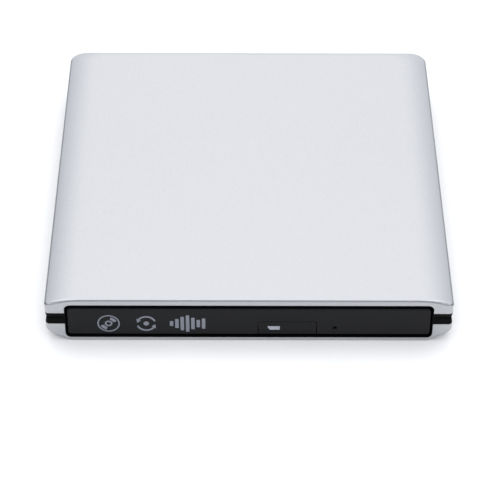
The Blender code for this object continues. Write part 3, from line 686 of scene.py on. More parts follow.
def top_levels():
    """Each ring's height, side inset and rear inset: upright, round the knuckle, then one arc inwards."""
    radius = (DROOP_RUN ** 2 + DROOP_DROP ** 2) / (2 * DROOP_DROP)

    def height(reach):
        return TOP - radius + sqrt(radius ** 2 - (DROOP_RUN - reach) ** 2)

    slope = asin((DROOP_RUN - KNUCKLE_REACH) / radius)
    knuckle = KNUCKLE_REACH / (sin(KNUCKLE_TILT) - sin(slope))
    upright = 1.2
    levels = [(BAND_TOP, 0.0), (BAND_TOP + upright, 0.0)]
    steps = 7
    for i in range(steps + 1):
        tilt = KNUCKLE_TILT + (slope - KNUCKLE_TILT) * i / steps
        inset = KNUCKLE_REACH - knuckle * (sin(tilt) - sin(slope))
        levels.append((height(KNUCKLE_REACH) - knuckle * (cos(slope) - cos(tilt)), inset))
    steps = 14
    for i in range(1, steps + 1):
        reach = KNUCKLE_REACH + (DROOP_RUN - KNUCKLE_REACH) * (i / steps)
        levels.append((height(reach), reach))
    return [(z, inset, inset * REAR_TO_SIDE) for z, inset in levels]


def bottom_levels():
    """Upright, round the knuckle, down the slanting skirt and round onto the base plate."""
    radius, base_radius = 2.4, 4.0
    slope = atan(SKIRT_SLOPE)
    turn = pi / 2 - slope
    knuckle = BASE + SKIRT_INSET * SKIRT_SLOPE
    start = knuckle + radius * tan(turn / 2)
    levels = [(BAND_BOTTOM, 0.0)]
    steps = 8
    for i in range(steps + 1):
        angle = turn * i / steps
        levels.append((start - radius * sin(angle), radius * (1 - cos(angle))))
    reach = base_radius * tan(slope / 2)
    steps = 5
    for i in range(steps + 1):
        angle = slope * (1 - i / steps)
        inset = SKIRT_INSET + reach - base_radius * sin(angle)
        levels.append((BASE + base_radius * (1 - cos(angle)), inset))
    return [(z, inset, inset * SKIRT_REAR_TO_SIDE) for z, inset in levels]


def opening_edge(band, middle, last):
    """The front opening's edge in one shell, from the band on the left round two corners to the band.

    middle is the height of the corners' centres, and the left corner turns from 180 degrees to the last.
    """
    corner = arc((-OPENING_HALF + OPENING_RADIUS, middle), OPENING_RADIUS, 180, last, 10)
    left = [(-OPENING_HALF, band)] + corner
    return left + [(-x, z) for x, z in reversed(left)]


def make_top_shell():
    opening = opening_edge(BAND_TOP, OPENING_HIGH - OPENING_RADIUS, 90)
    made = shell("top_shell", top_levels(), opening, CREASE)
    soften(made, 0.15, 2, 38, clean=False, smooth=20)
    paint(made, "silver_paint", "case", "top_skin")


def make_bottom_shell():
    opening = opening_edge(BAND_BOTTOM, OPENING_LOW + OPENING_RADIUS, 270)
    made = shell("bottom_shell", bottom_levels(), opening)
    for node in CASE_SCREWS:
        combine(made, pole(2.55, centre_of(node), 0, 4.0))
    for node in FEET:
        combine(made, pole(FOOT_RADIUS + 0.15, centre_of(node), 0, BASE + 1.3, 64))
    soften(made, 0.2, 3, 38, clean=False, smooth=30)
    paint(made, "silver_paint", "case", "bottom_skin")


def band_path(inset, z):
    """A ring just inside the shell's outline, from the opening's right end round the rear."""
    x1, y1 = HALF_WIDTH - inset, HALF_DEPTH - inset
    corner, rear_corner = max(FRONT_CORNER - inset, 0.15), max(REAR_CORNER - inset, 1.0)
    return round_the_rear((OPENING_HALF, -y1), x1, y1, corner, rear_corner, -90, z)


def make_frame(name, section, node):
    """A plastic ring with one section all the way round, cut at the rear for the port panel."""
    made = loft(name, [band_path(inset, z) for inset, z in section], closed=False, wrap=True)
    low, high = extent("port_panel")
    combine(made, box("port_window", (low.x - 0.3, 66, 8.0), (high.x + 0.3, 80, 14.0)))
    soften(made, 0.08, 2, 30)
    paint(made, "black_plastic", "case", node)


def make_frames():
    """The two rings between the shells. Their sections are pairs of inset and height."""
    face, groove, slant, gap = 0.06, 0.75, 0.35, 0.02
    top, bottom = BAND_TOP, BAND_BOTTOM
    upper = [(groove, GROOVE_HIGH), (slant, GROOVE_HIGH + slant), (face, top - 0.5), (face, top - gap)]
    upper += [(1.3, top - gap), (1.3, TOP - 3.6), (2.3, TOP - 3.6), (2.3, GROOVE_HIGH)]
    lower = [(face, bottom + gap), (face, bottom + 0.5), (slant, GROOVE_LOW - slant), (groove, GROOVE_LOW)]
    lower += [(1.0, GROOVE_LOW), (1.0, GROOVE_HIGH - gap), (2.2, GROOVE_HIGH - gap), (2.6, GROOVE_LOW)]
    lower += [(2.6, top - 1.0), (3.6, top - 1.0), (3.6, bottom), (2.6, bottom)]
    lower += [(2.6, bottom - 1.2), (1.3, bottom - 1.2), (1.3, bottom + gap)]
    make_frame("upper_band", upper, "upper_frame")
    make_frame("lower_band", lower, "lower_frame")


def make_opening_liner():
    """A thin black lip of the plastic frames that covers the sheet edge all round the front opening."""
    loops = []
    for inset in (0.02, 0.34):
        low = (-OPENING_HALF + inset, OPENING_LOW + inset)
        high = (OPENING_HALF - inset, OPENING_HIGH - inset)
        loops.append(rounded_rectangle(low, high, OPENING_RADIUS - inset, 8))
    front, back = -HALF_DEPTH + 0.05, -71.8
    made = prism("opening_liner", loops, front, back, "Y")
    soften(made, 0.08, 2, 30)
    paint(made, "black_plastic", "case", slot="black_plastic")


def phillips(x, y, z, depth, span):
    """A cross-shaped driver recess that narrows upwards from a head facing down."""
    arms = []
    for turn in (0, 90):
        arm = box("arm", (-span, -span * 0.24, -1.0), (span, span * 0.24, depth))
        moved(arm, Matrix.Translation((x, y, z)) @ turn_by(turn + 45))
        arms.append(arm)
    return arms


def make_case_screws():
    """Machine screws with rounded heads, grooved round the shank where the thread is."""
    shank, core, pitch, turns = 0.85, 0.66, 0.7, 7
    brim, swell = 2.3, 0.4
    for node in CASE_SCREWS:
        low, high = extent(node)
        head = low.z
        profile = [(0, high.z), (0.72, high.z), (shank, high.z - 0.2)]
        for i in range(turns):
            z = high.z - 0.4 - i * pitch
            profile += [(shank, z), (core, z - 0.3), (shank, z - 0.6)]
        profile += [(shank, head + 0.9), (2.25, head + 0.85), (brim, head + swell)]
        angles = (0.4, 0.8, 1.2)
        profile += [(brim - 0.45 * (1 - cos(a)), head + swell * (1 - sin(a))) for a in angles]
        profile += [(1.5, head), (0, head)]
        x, y = centre_of(node)
        made = turned(f"{node}_piece", profile, (x, y), 40)
        combine(made, *phillips(x, y, head, 0.55, 1.25))
        paint(shade(made, 30), "zinc_steel", "case", node)


def make_feet():
    """Rubber feet with a rounded rim and a shallow ring-shaped well."""
    radius, rim = FOOT_RADIUS, 0.4
    angles = (0.3, 0.6, 0.9, 1.2, pi / 2)
    profile = [(0, 2.4), (radius + 0.8, 2.4), (radius + 0.9, 2.2), (radius + 0.9, 1.8), (radius, 1.75)]
    profile += [(radius - rim + rim * cos(a), rim - rim * sin(a)) for a in angles]
    profile += [(3.1, 0.0), (2.9, 0.06), (2.75, 0.3), (1.2, 0.3), (1.0, 0.24), (0.8, 0.16), (0, 0.14)]
    for node in FEET:
        made = turned(f"rubber_{node}", profile, centre_of(node), 64)
        paint(shade(made, 50), "rubber", "case", node)


def make_port_panel():
    """The rear panel with its two openings, a fine frame round one and a fine ring round the other."""
    low, high = extent("port_panel")
    outline = rounded_rectangle((low.x, BAND_BOTTOM + 0.05), (high.x, BAND_TOP - 0.05), 0.4)
    usb = [(-6.4, 9.35), (6.4, 9.35), (6.4, 11.7), (6.0, 12.1), (-6.0, 12.1), (-6.4, 11.7)]
    panel = prism("rear_panel", [outline, usb, circle(JACK, 1.95)], low.y, high.y, "Y")
    border = rounded_rectangle((-7.4, 8.9), (7.4, 12.55), 0.6)
    inside = rounded_rectangle((-7.1, 9.15), (7.1, 12.3), 0.5)
    groove = prism("groove", [border, inside], high.y - 0.15, 80, "Y")
    ring = prism("ring", [circle(JACK, 2.35), circle(JACK, 2.15)], high.y - 0.12, 80, "Y")
    combine(panel, groove, ring)
    paint(soften(panel, 0.1, 2, 32), "black_plastic", "case", "port_panel")


# Drive front


def make_bezel():
    """The bezel: a rounded front, the button's notch, and the emergency pinhole in its dish."""
    half, low, high = BEZEL_HIGH.x + BEZEL_WIDER, BEZEL_LOW.z - BEZEL_LOWER, BEZEL_HIGH.z - 0.05
    front, back = BEZEL_LOW.y, BEZEL_HIGH.y
    steps, round_edge, corner = 8, 0.55, 1.15
    rings = []
    for i in range(steps + 1):
        angle = pi / 2 * i / steps
        inset = round_edge * (1 - sin(angle))
        radius = corner - inset * 0.9
        outline = rounded_rectangle((-half + inset, low + inset), (half - inset, high - inset), radius, 8)
        rings.append([(x, front + round_edge * (1 - cos(angle)), z) for x, z in outline])
    rings.append([(x, back, z) for x, y, z in rings[-1]])
    made = loft("bezel_front", rings)
    gap = 0.28
    notch_low, notch_high = (BUTTON_LOW.x - gap, 0), (BUTTON_HIGH.x + gap, BUTTON_HIGH.z + gap)
    notch = rounded_rectangle(notch_low, notch_high, (0.1, 1.1, 1.1, 0.1), 6)
    combine(made, prism("notch", [notch], -90, -60, "Y"))
    x, z = PINHOLE
    hole, dish = 0.62, 1.05
    combine(made, rod("pinhole", hole, (x, -90, z), (x, -60, z), 32))
    combine(made, rod("dish", dish, (x, front - 0.5, z), (x, front + 0.42, z), 40, hole))
    paint(soften(made, 0.12, 2, 30), "bezel_black", "tray", "bezel")


def light_outline(grow):
    """The light window's outline: a bar with its lower left corner cut off at a slant."""
    low, high = extent("light_window")
    x0, x1, z0, z1 = low.x - grow, high.x + grow, low.z - grow, high.z + grow
    return [(x0 + 0.8, z0), (x1, z0), (x1, z1), (x0, z1), (x0, z0 + 1.0)]


def make_button():
    """The eject button: rounded upper corners, and a groove, a nick and a light window in its face."""
    low, high = BUTTON_LOW, BUTTON_HIGH
    back = extent("light_window")[1].y
    outline = rounded_rectangle((low.x, low.z - BEZEL_LOWER), high.xz, (0.15, 0.85, 0.85, 0.15), 6)
    made = prism("eject_button_cap", [outline], low.y, high.y, "Y")
    combine(made, prism("seat", [light_outline(0.05)], low.y - 1, back, "Y"))
    x0, x1, z = low.x + 0.9, high.x - 0.9, low.z + 0.75
    groove = box("groove", (x0, low.y - 1, z), (x1, low.y + 0.12, z + 0.2))
    nick = box("nick", (14.2, low.y - 1, 5.55), (15.9, low.y + 0.1, 5.85))
    combine(made, groove, nick)
    paint(soften(made, 0.16, 3, 30), "bezel_black", "button", "eject_button")
    window = prism("status_light", [light_outline(0.0)], low.y + 0.02, back, "Y")
    paint(soften(window, 0.06, 2, 30), "light_window", "button", "light_window")


def make_marks():
    """Three generic pictograms printed on the bezel: a disc, two turning arrows and a row of level bars."""
    middle, pressed_in, raised = 8.0, 0.05, 0.015
    front = BEZEL_LOW.y
    shapes = []

    def print_ink(*loops):
        shapes.append(prism("ink", loops, front - raised, front + pressed_in, "Y"))

    def print_stretch(centre, outer, inner, start, end, steps):
        print_ink(arc(centre, outer, start, end, steps) + arc(centre, inner, end, start, steps))

    disc = (-50.0, middle)
    for outer, inner in ((4.0, 3.5), (1.35, 0.75)):
        print_ink(circle(disc, outer, 64), circle(disc, inner, 64))
    for start in (20, 200):
        print_stretch(disc, 3.05, 1.8, start, start + 55, 16)
    turn = (-36.6, middle)
    for start in (20, 200):
        end = start + 125
        print_stretch(turn, 3.6, 2.9, start, end, 32)
        corners = ((4.2, end), (2.3, end), (3.25, end + 28))
        print_ink([arc(turn, radius, angle, angle, 1)[0] for radius, angle in corners])
    print_ink(circle(turn, 1.0, 32))
    first, pitch, width = -28.2, 1.9, 1.25
    for i, height in enumerate((2.4, 4.4, 6.6, 8.0, 5.6, 3.6, 5.0)):
        x = first + i * pitch
        print_ink(rounded_rectangle((x, middle - height / 2), (x + width, middle + height / 2), 0.3, 3))
    paint(join("bezel_marks", shapes), "mark_print", "tray", slot="bezel_black")


# Tray


def on_traverse(points):
    """Points out along the pickup's path and across it, as X and Y."""
    return [tuple(TRAVERSE @ Vector((u, v, 0)))[:2] for u, v in points]


def rounded(points, radius, steps=4):
    """A polygon with its corners rounded."""
    result = []
    for i, point in enumerate(points):
        here = Vector(point)
        before, after = Vector(points[i - 1]) - here, Vector(points[(i + 1) % len(points)]) - here
        reach = min(radius, before.length * 0.49, after.length * 0.49)
        start, end = here + before.normalized() * reach, here + after.normalized() * reach
        for step in range(steps + 1):
            t = step / steps
            result.append(tuple(start * (1 - t) ** 2 + here * (2 * t * (1 - t)) + end * t ** 2))
    return result


def traverse_window(inset):
    """The opening in the tray's floor over the traverse, or an outline that far inside it."""
    g = inset
    corners = [(-16 + g, -22.5 + g), (53.2 - g, -22.5 + g), (64 - g, -11.7 + g * 0.5)]
    corners += [(64 - g, 17.3 - g * 0.5), (57.9 - g * 0.5, 23.5 - g), (-16 + g, 23.5 - g)]
    return on_traverse(rounded(corners, 2.4 - g))


def make_tray():
    """The moulded tray: a stepped disc well, finger notches, sunk rear corners, rail channels and ribs."""
    low, high = extent("tray")
    above = high.z + 2
    outline = rounded_rectangle(low.xy, high.xy, (0.3, 2.5, 2.5, 0.3), 6)
    tray = prism("tray_moulding", [outline], low.z, high.z)
    centre = (0.0, SPINDLE_Y)
    well = [(0, 11.15), (40.75, 11.15), (41.05, 11.4), (60.3, 11.4), (60.75, 11.75), (60.75, 12.75)]
    well += [(61.3, high.z), (61.3, above), (0, above)]
    combine(tray, turned("well", well, centre, 180))
    notch = [(0, 11.5), (9.0, 11.5), (9.4, 11.8), (9.9, 12.9), (10.6, high.z), (10.6, above), (0, above)]
    notch_out = 42.6
    for side in (-1, 1):
        combine(tray, turned("notch", notch, (side * notch_out, SPINDLE_Y - notch_out), 64))
        corner = prism("corner", [rounded_rectangle((32, 24), (57.8, 50.4), 1.6)], 12.6, above)
        if side < 0:
            moved(corner, Matrix.Diagonal((-1, 1, 1, 1)))
            corner.data.flip_normals()
        combine(corner, pole(63.4, centre, 0, 20, 180))
        combine(tray, corner)
    underside = 10.4
    combine(tray, prism("pocket", [rounded_rectangle((-56.6, -69.6), (56.6, 42.8), 1.2)], 0, underside))
    combine(tray, box("rear_bay", (-80, 44, 0), (80, 80, underside)))
    combine(tray, prism("window", [traverse_window(0.0)], 8, 20))
    combine(tray, box("post_way", (48.6, 40, 0), (52.4, 46, 8.9)))
    for side in (-1, 1):
        combine(tray, box("channel", (side * 58.4, -80, 6.4), (side * 65, 80, 9.4)))
    foot, thick, root = 9.8, 0.4, underside + 0.1
    ribs = [box("rib", (x - thick, -69.8, foot), (x + thick, 43, root)) for x in (30.0, 36.5, 43.0, 49.5)]
    ribs += [box("rib", (26, y - thick, foot), (56.8, y + thick, root)) for y in (-20.0, 0.0, 20.0)]
    for number in (1, 2, 3):
        middle = sum(extent(f"grommet_{number}"), Vector((0, 0, 0))) / 2
        ribs.append(pole(1.3, middle.xy, 6.2, 10.9, 24))
    combine(tray, *ribs, operation="UNION")
    combine(tray, prism("window", [traverse_window(0.0)], 8, 20))
    paint(soften(tray, 0.18, 2, 34), "black_plastic", "tray", "tray")


def keyhole(radius, half_width, reach, corner):
    """A round hole for the spindle that runs out into the pickup's slot."""
    mouth = degrees(asin(half_width / radius))
    slot = arc((reach - corner, -half_width + corner), corner, -90, 0, 5)
    slot += arc((reach - corner, half_width - corner), corner, 0, 90, 5)
    return on_traverse(arc((0, 0), radius, mouth, 360 - mouth, 60) + slot)


def small_screw(x, y, z):
    """A low cross-head screw whose head stands on a face at height z."""
    radius, deep = 1.9, 0.4
    dome = ((0, 0.34), (0.7, 0.32), (0.92, 0.22), (1, 0.08), (1, 0), (0, 0))
    made = turned("screw", [(radius * share, z + rise) for share, rise in dome], (x, y), 32)
    arms = phillips(x, y, z + 0.36, deep, radius * 0.5)
    for arm in arms:
        moved(arm, Matrix.Translation((0, 0, -deep - 0.22)))
    return combine(made, *arms)


def make_traverse_cover():
    """The steel cover over the traverse: pressed beads beside the pickup's slot, and three screws."""
    top = extent("traverse_cover")[1].z
    slot = keyhole(14.6, 8.5, 61.5, 2.0)
    cover = prism("pickup_cover", [traverse_window(0.5), slot], top - 0.4, top)
    raised = []
    for v0, v1 in ((-17.6, -15.8), (15.6, 17.4)):
        for u0, u1 in ((15.0, 30.0), (34.0, 51.0)):
            bead = rounded_rectangle((u0, v0), (u1, v1), 0.85, 6)
            raised.append(prism("bead", [on_traverse(bead)], top - 0.2, top + 0.22))
    raised.append(prism("lip", [keyhole(15.4, 9.3, 62.3, 2.6), slot], top - 0.2, top + 0.12))
    combine(cover, *raised, operation="UNION")
    for place in on_traverse(((-9.5, -18.2), (24.0, 20.6), (32.0, -20.2), (58.0, 17.0))):
        combine(cover, pole(0.75, place, 5, 15, 24))
    soften(cover, 0.12, 2, 32)
    screws = [small_screw(x, y, top) for x, y in on_traverse(((-10.5, 18.6), (55.5, -15.6), (10.0, -19.2)))]
    paint(shade(join("cover_screws", screws), 30), "zinc_steel", "tray", slot="zinc_steel")
    paint(cover, "zinc_steel", "tray", "traverse_cover")


def about_spindle(angle):
    return Matrix.Translation((0.0, SPINDLE_Y, 0)) @ turn_by(angle)


def make_turntable():
    """The spindle's turntable: a turned hub with three claw slots, a grooved flange and a rubber ring."""
    at = (0.0, SPINDLE_Y)
    hub = [(0, 13.9), (1.25, 13.9), (1.3, 14.2), (1.6, 14.2), (1.75, 14.05), (3.4, 14.05), (3.6, 14.2)]
    hub += [(6.0, 14.2), (6.35, 14.12), (6.8, 13.75), (7.18, 13.2), (7.3, 12.7), (7.3, 11.55), (7.5, 11.4)]
    flange = [(8.6, 11.4), (8.75, 11.2), (9.6, 11.2), (9.75, 11.4), (10.1, 11.4), (10.2, 11.55)]
    flange += [(13.55, 11.55), (13.8, 11.35), (13.8, 10.0), (13.6, 9.8), (10.2, 9.45), (10.0, 9.4), (0, 9.4)]
    table = turned("turntable_hub", hub + flange, at, 96)
    claw_angles = (30, 150, 270)
    for angle in claw_angles:
        combine(table, moved(box("pocket", (3.9, -1.4, 12.65), (9, 1.4, 16)), about_spindle(angle)))
        combine(table, moved(pole(0.8, (4.9, 0), 12.8, 15, 24), about_spindle(angle + 60)))
    paint(soften(table, 0.1, 2, 30), "steel", "spindle", "turntable")

    profile = [(10.45, 11.6), (10.4, 11.85), (10.5, 11.95), (13.3, 11.95), (13.4, 11.85), (13.35, 11.6)]
    ring = turned("friction_ring", profile, at, 96, hollow=True)
    paint(shade(ring, 40), "rubber", "spindle", "turntable_ring")

    section = [(4.75, 13.0), (7.55, 13.0), (7.95, 13.15), (7.9, 13.45), (7.35, 13.85), (6.7, 13.98)]
    section.append((4.75, 13.98))
    for number, angle in enumerate(claw_angles, 1):
        claw = soften(prism(f"disc_claw_{number}", [section], -1.12, 1.12, "Y"), 0.14, 3, 25)
        paint(moved(claw, about_spindle(angle)), "white_plastic", f"claw_{number}", f"clamp_claw_{number}")


def make_pickup():
    """The pickup: a die-cast sled with two magnets, and the lens holder with its lens."""
    u = PICKUP_OUT
    arms = [(4.5, 10.6), (-1, 10.6), (-1, 16.3), (-9, 16.3), (-9, 17.9), (-12, 17.9), (-12, 16.3)]
    arms += [(-14, 16.3), (-14, 12.9), (-8.5, 11), (-8.5, -11), (-9, -12.9), (-9, -16.3), (-1, -16.3)]
    arms += [(-1, -10.6), (4.5, -10.6)]
    outline = rounded([(u + a, b) for a, b in arms], 0.6, 3)
    sled = prism("pickup_casting", [outline], 5.0, 8.2)
    combine(sled, box("tub", (u - 6.6, -6.9, 7.5), (u + 4.7, 6.9, 9)))
    ribs = [box("rib", (u - 8.2, v - 0.4, 8.0), (u + 4.0, v + 0.4, 8.5)) for v in (-9.0, 9.0)]
    combine(sled, *ribs, operation="UNION")
    for v in (-SHAFTS_ACROSS, SHAFTS_ACROSS):
        combine(sled, rod("bore", 1.3, (0, v, SHAFT_HEIGHT), (60, v, SHAFT_HEIGHT), 24))
    for a, b in ((-5.5, 13.6), (-5.0, -13.5)):
        combine(sled, pole(0.9, (u + a, b), 7.9, 9, 24))
    soften(moved(sled, TRAVERSE), 0.14, 2, 32)
    paint(sled, "zinc_steel", "sled", "pickup_sled")

    magnets = []
    for side in (-1, 1):
        magnets.append(box("magnet", (u - 2.9, side * 6.45, 7.4), (u + 2.9, side * 7.5, 10.1)))
        magnets.append(box("yoke", (u - 3.3, side * 7.5, 7.4), (u + 3.3, side * 8.1, 10.3)))
    magnets = moved(join("pickup_magnets", magnets), TRAVERSE)
    soften(magnets, 0.1, 2, 30, clean=False)
    paint(magnets, "steel", "sled", slot="steel")

    waist = [(-3.8, -4.2), (-2.6, -6.0), (2.6, -6.0), (3.8, -4.2)]
    waist += [(a, -b) for a, b in reversed(waist)]
    holder = prism("lens_carrier_frame", [rounded([(u + a, b) for a, b in waist], 0.7, 3)], 8.7, 10.25)
    collar = [(0, 10.1), (2.35, 10.1), (2.35, 10.62), (2.5, 10.7), (3.1, 10.7), (3.3, 10.55), (3.45, 10.15)]
    collar += [(3.45, 9.6), (0, 9.6)]
    combine(holder, turned("collar", collar, (u, 0), 64), operation="UNION")
    combine(holder, pole(2.3, (u, 0), 9.6, 12, 64))
    for side in (-1, 1):
        combine(holder, box("coil_slot", (u - 2.2, side * 4.3, 9.9), (u + 2.2, side * 5.3, 11)))
    soften(moved(holder, TRAVERSE), 0.1, 2, 30)
    paint(holder, "black_plastic", "lens_carrier", "lens_holder")

    dome = [(0, 11.3)]
    dome += [(2.1 * sin(a), 10.6 + 0.7 * cos(a)) for a in (0.25, 0.5, 0.75, 1.0, 1.25, 1.5)]
    lens = turned("objective_lens", dome + [(2.1, 10.3), (0, 10.3)], (u, 0), 48)
    paint(shade(moved(lens, TRAVERSE), 40), "lens", "lens_carrier", "lens")


def make_rails():
    """The two folded steel rails: lightening slots, a round hole near each end and eased corners."""
    inner, outer, web_in, web_out = 58.8, 62.3, 60.25, 60.95
    low, high, flange = 6.8, 9.0, 0.55
    section = [(inner, low), (outer, low), (outer, low + flange), (web_out, low + flange)]
    section += [(web_out, high - flange), (outer, high - flange), (outer, high), (inner, high)]
    section += [(inner, high - flange), (web_in, high - flange), (web_in, low + flange)]
    section.append((inner, low + flange))
    for node, side in (("rail_left", -1), ("rail_right", 1)):
        front, rear = (corner.y for corner in extent(node))
        outline = rounded([(side * x, z) for x, z in section], 0.12, 2)
        made = prism(f"slide_{node}", [outline], front, rear, "Y")
        slots = []
        for i in range(5):
            y = front + 12 + i * 20.0
            slot = rounded_rectangle((y, 7.55), (y + 9.0, 8.25), 0.34, 4)
            slots.append(prism("slot", [slot], *sorted((side * 59.5, side * 61.5)), "X"))
        slots += [pole(0.8, (side * 61.6, y), 6, 10, 20) for y in (front + 4.0, rear - 4.0)]
        combine(made, *slots)
        paint(soften(made, 0.1, 2, 34), "steel", node, node)


def make_under_plate():
    """The tray's pressed bottom plate: beads, vents and countersunk seats for its screws."""
    low, high = extent("under_plate")
    vents = [circle((x, 25.0), 3.0, 60) for x in (-40.0, -10.0)]
    for i in range(6):
        x = -38.0 + i * 3.4
        vents.append(rounded_rectangle((x, -62.0), (x + 1.6, -48.0), 0.78, 6))
    plate = prism("tray_bottom_plate", [rounded_rectangle(low.xy, high.xy, 1.6, 6)] + vents, low.z, high.z)
    beads = []
    for y in (-42.0, -30.0, -18.0, -6.0, 6.0):
        bead = rounded_rectangle((-50, y), (16, y + 2.4), 1.15, 8)
        beads.append(prism("bead", [bead], low.z - 0.5, low.z + 0.16))
    combine(plate, *beads)
    corners = ((-52.5, -65.5), (20.3, -65.5), (-52.5, 38.7), (20.3, 38.7))
    combine(plate, *[pole(2.0, at, low.z - 0.2, low.z + 0.2, 40, 1.7) for at in corners])
    paint(soften(plate, 0.08, 2, 32), "zinc_steel", "tray", "under_plate")


def make_usb_port():
    """The data socket: a folded steel shell, its two black tongues and their rows of gold contacts."""
    low, high = extent("usb_port")
    mouth = [(-5.75, 9.75), (5.75, 9.75), (5.75, 11.15), (5.3, 11.65), (1.3, 11.65), (1.0, 11.35)]
    mouth += [(0.7, 11.35), (0.4, 11.65), (-5.3, 11.65), (-5.75, 11.15)]
    outline = rounded_rectangle(low.xz, high.xz, 0.5, 5)
    folded = prism("data_socket_shell", [outline], low.y, high.y, "Y")
    combine(folded, prism("mouth", [rounded(mouth, 0.18, 3)], low.y + 2.5, high.y + 2, "Y"))
    for x in (-3.4, 3.4):
        combine(folded, box("spring", (x - 0.5, 70.0, high.z - 0.12), (x + 0.5, 74.2, high.z + 1)))
    paint(soften(folded, 0.08, 2, 32), "steel", "case", "usb_port")
    back, front = low.y + 2.0, high.y - 0.9
    tongues = [box("tongue", (x0, back, 10.45), (x1, front, 10.95)) for x0, x1 in ((-4.9, 0.1), (1.5, 5.0))]
    tongue = soften(join("data_socket_tongue", tongues), 0.1, 2, 30, clean=False)
    paint(tongue, "black_plastic", "case", slot="black_plastic")
    contacts = []
    for start, pitch in ((-4.35, 0.9), (2.0, 0.6)):
        for i in range(5):
            x = start + i * pitch
            contacts.append(box("contact", (x - 0.14, low.y + 3.5, 10.93), (x + 0.14, high.y - 1.2, 11.02)))
    contacts = soften(join("data_socket_contacts", contacts), 0.03, 1, 30, clean=False)
    paint(contacts, "brass", "case", slot="brass")


def make_dc_jack():
    """The power jack: a black housing relieved at both sides, its round collar and a centre pin."""
    low, high = extent("dc_jack")
    x, z = (low.x + high.x) / 2, JACK[1]
    jack = prism("power_jack", [rounded_rectangle(low.xz, high.xz, 0.35, 4)], low.y, 73.8, "Y")
    combine(jack, rod("collar", 1.7, (x, 73, z), (x, high.y - 0.02, z), 64), operation="UNION")
    cuts = [rod("mouth", 1.2, (x, 66, z), (x, 77, z), 64)]
    cuts += [box("relief", (x + s * 3.2 - 0.5, 63.5, 10.4), (x + s * 3.2 + 0.5, 71.0, 13)) for s in (-1, 1)]
    combine(jack, *cuts)
    paint(soften(jack, 0.1, 2, 32), "black_plastic", "case", "dc_jack")
    pin = turned("power_jack_pin", [(0, 9.0), (0.38, 9.0), (0.42, 8.9), (0.42, 1.0), (0, 1.0)], steps=32)
    moved(pin, Matrix.Translation((x, 65.5, z)) @ turn_by(-90, "X"))
    paint(shade(pin, 40), "steel", "case", slot="steel")


def make_ribbon():
    """The flat cable, drawn in one still shape: along the case below, folded over, and back under the tray
    above.
    """
    fold, low, high, half = -24.0, 3.9, 6.55, 0.1
    left, right, edge = 27, 42, 0.05
    radius = (high - low) / 2 - half
    path = [(50.0 - 2.0 * i, low + half) for i in range(37)]
    turn = [pi * i / 16 for i in range(17)]
    path += [(fold - radius * sin(a), low + half + radius * (1 - cos(a))) for a in turn]
    path += [(fold + 1.5 * i, high - half) for i in range(1, 43)] + [(40.5, high - half)]
    section = [(left + edge, 1.0), (left, 0.5), (left, -0.5), (left + edge, -1.0)]
    section += [(right - edge, -1.0), (right, -0.5), (right, 0.5), (right - edge, 1.0)]
    rings = []
    for i, (y, z) in enumerate(path):
        before, after = path[max(i - 1, 0)], path[min(i + 1, len(path) - 1)]
        along = Vector((after[0] - before[0], after[1] - before[1])).normalized()
        up = Vector((-along.y, along.x)) * half
        rings.append([(x, y + up.x * t, z + up.y * t) for x, t in section])
    made = shade(loft("flat_cable", rings), 60)
    made.data.materials.append(FINISHES["ribbon"].material)
    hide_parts("ribbon_cable")
    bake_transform(made)


def make_latch():
    """The moulded latch lever with its hub, web and hooked nose, and the solenoid that pulls it."""
    pivot = joint("latch_turn")["pos_m"]
    at = (pivot[0] / MM, pivot[1] / MM)
    clear_of_post, nose_depth, rest_angle = 1.55, 2.2, -15
    reach = hypot(CATCH_POST[0] - at[0], CATCH_POST[1] - at[1]) - clear_of_post
    nose = arc((0, 0), reach, -102, -64, 16)
    inner = arc((0, 0), reach - nose_depth, -64, -92, 12)
    boss = arc((0, 0), 2.6, -70, 210, 40)
    lever = prism("latch_hook", [nose + inner + boss], 5.4, 7.6)
    web = rounded([(-2.1, -1.0), (0.4, -2.3), (-0.6, -reach + 3.6), (-2.0, -reach + 3.4)], 0.4, 3)
    combine(lever, prism("web", [web], 6.9, 9))
    combine(lever, pole(1.2, (0, 0), 3, 9, 48))
    soften(lever, 0.16, 2, 32)
    moved(lever, Matrix.Translation((*at, 0)) @ turn_by(rest_angle))
    paint(lever, "white_plastic", "latch", "latch_lever")

    low, high = extent("latch_solenoid")
    yoke = prism("solenoid_yoke", [rounded_rectangle(low.xy, high.xy, 0.5, 4)], low.z, high.z)
    inside = Vector((1.2, -1, 0.9))
    combine(yoke, box("window", low + inside, high - inside))
    plunger_y, plunger_z = -54.5, 6.5
    combine(yoke, rod("bore", 1.3, (31, plunger_y, plunger_z), (44, plunger_y, plunger_z), 40))
    paint(soften(yoke, 0.15, 2, 32), "zinc_steel", "tray", "latch_solenoid", slot="steel")
    bore, wound, turns = 1.35, 2.35, 14
    first, last = low.x + 1.5, high.x - 1.5
    step = (last - first) / turns
    profile = [(bore, first)]
    for i in range(turns):
        x = first + i * step
        profile += [(wound, x), (2.62, x + step * 0.25), (2.7, x + step * 0.5), (2.62, x + step * 0.75)]
    profile += [(wound, last), (bore, last)]
    coil = turned("solenoid_coil", profile[::-1], steps=48, hollow=True)
    middle = (0, (low.y + high.y) / 2, (low.z + high.z) / 2)
    moved(coil, Matrix.Translation(middle) @ turn_by(90, "Y"))
    paint(shade(coil, 60), "brass", "tray", slot="brass")


def component(name, low, high):
    """One small block soldered to a board, with eased edges."""
    outline = rounded_rectangle(low[:2], high[:2], min(0.25, (high[0] - low[0]) / 4), 3)
    return soften(prism(name, [outline], low[2], high[2]), 0.08, 1, 40)


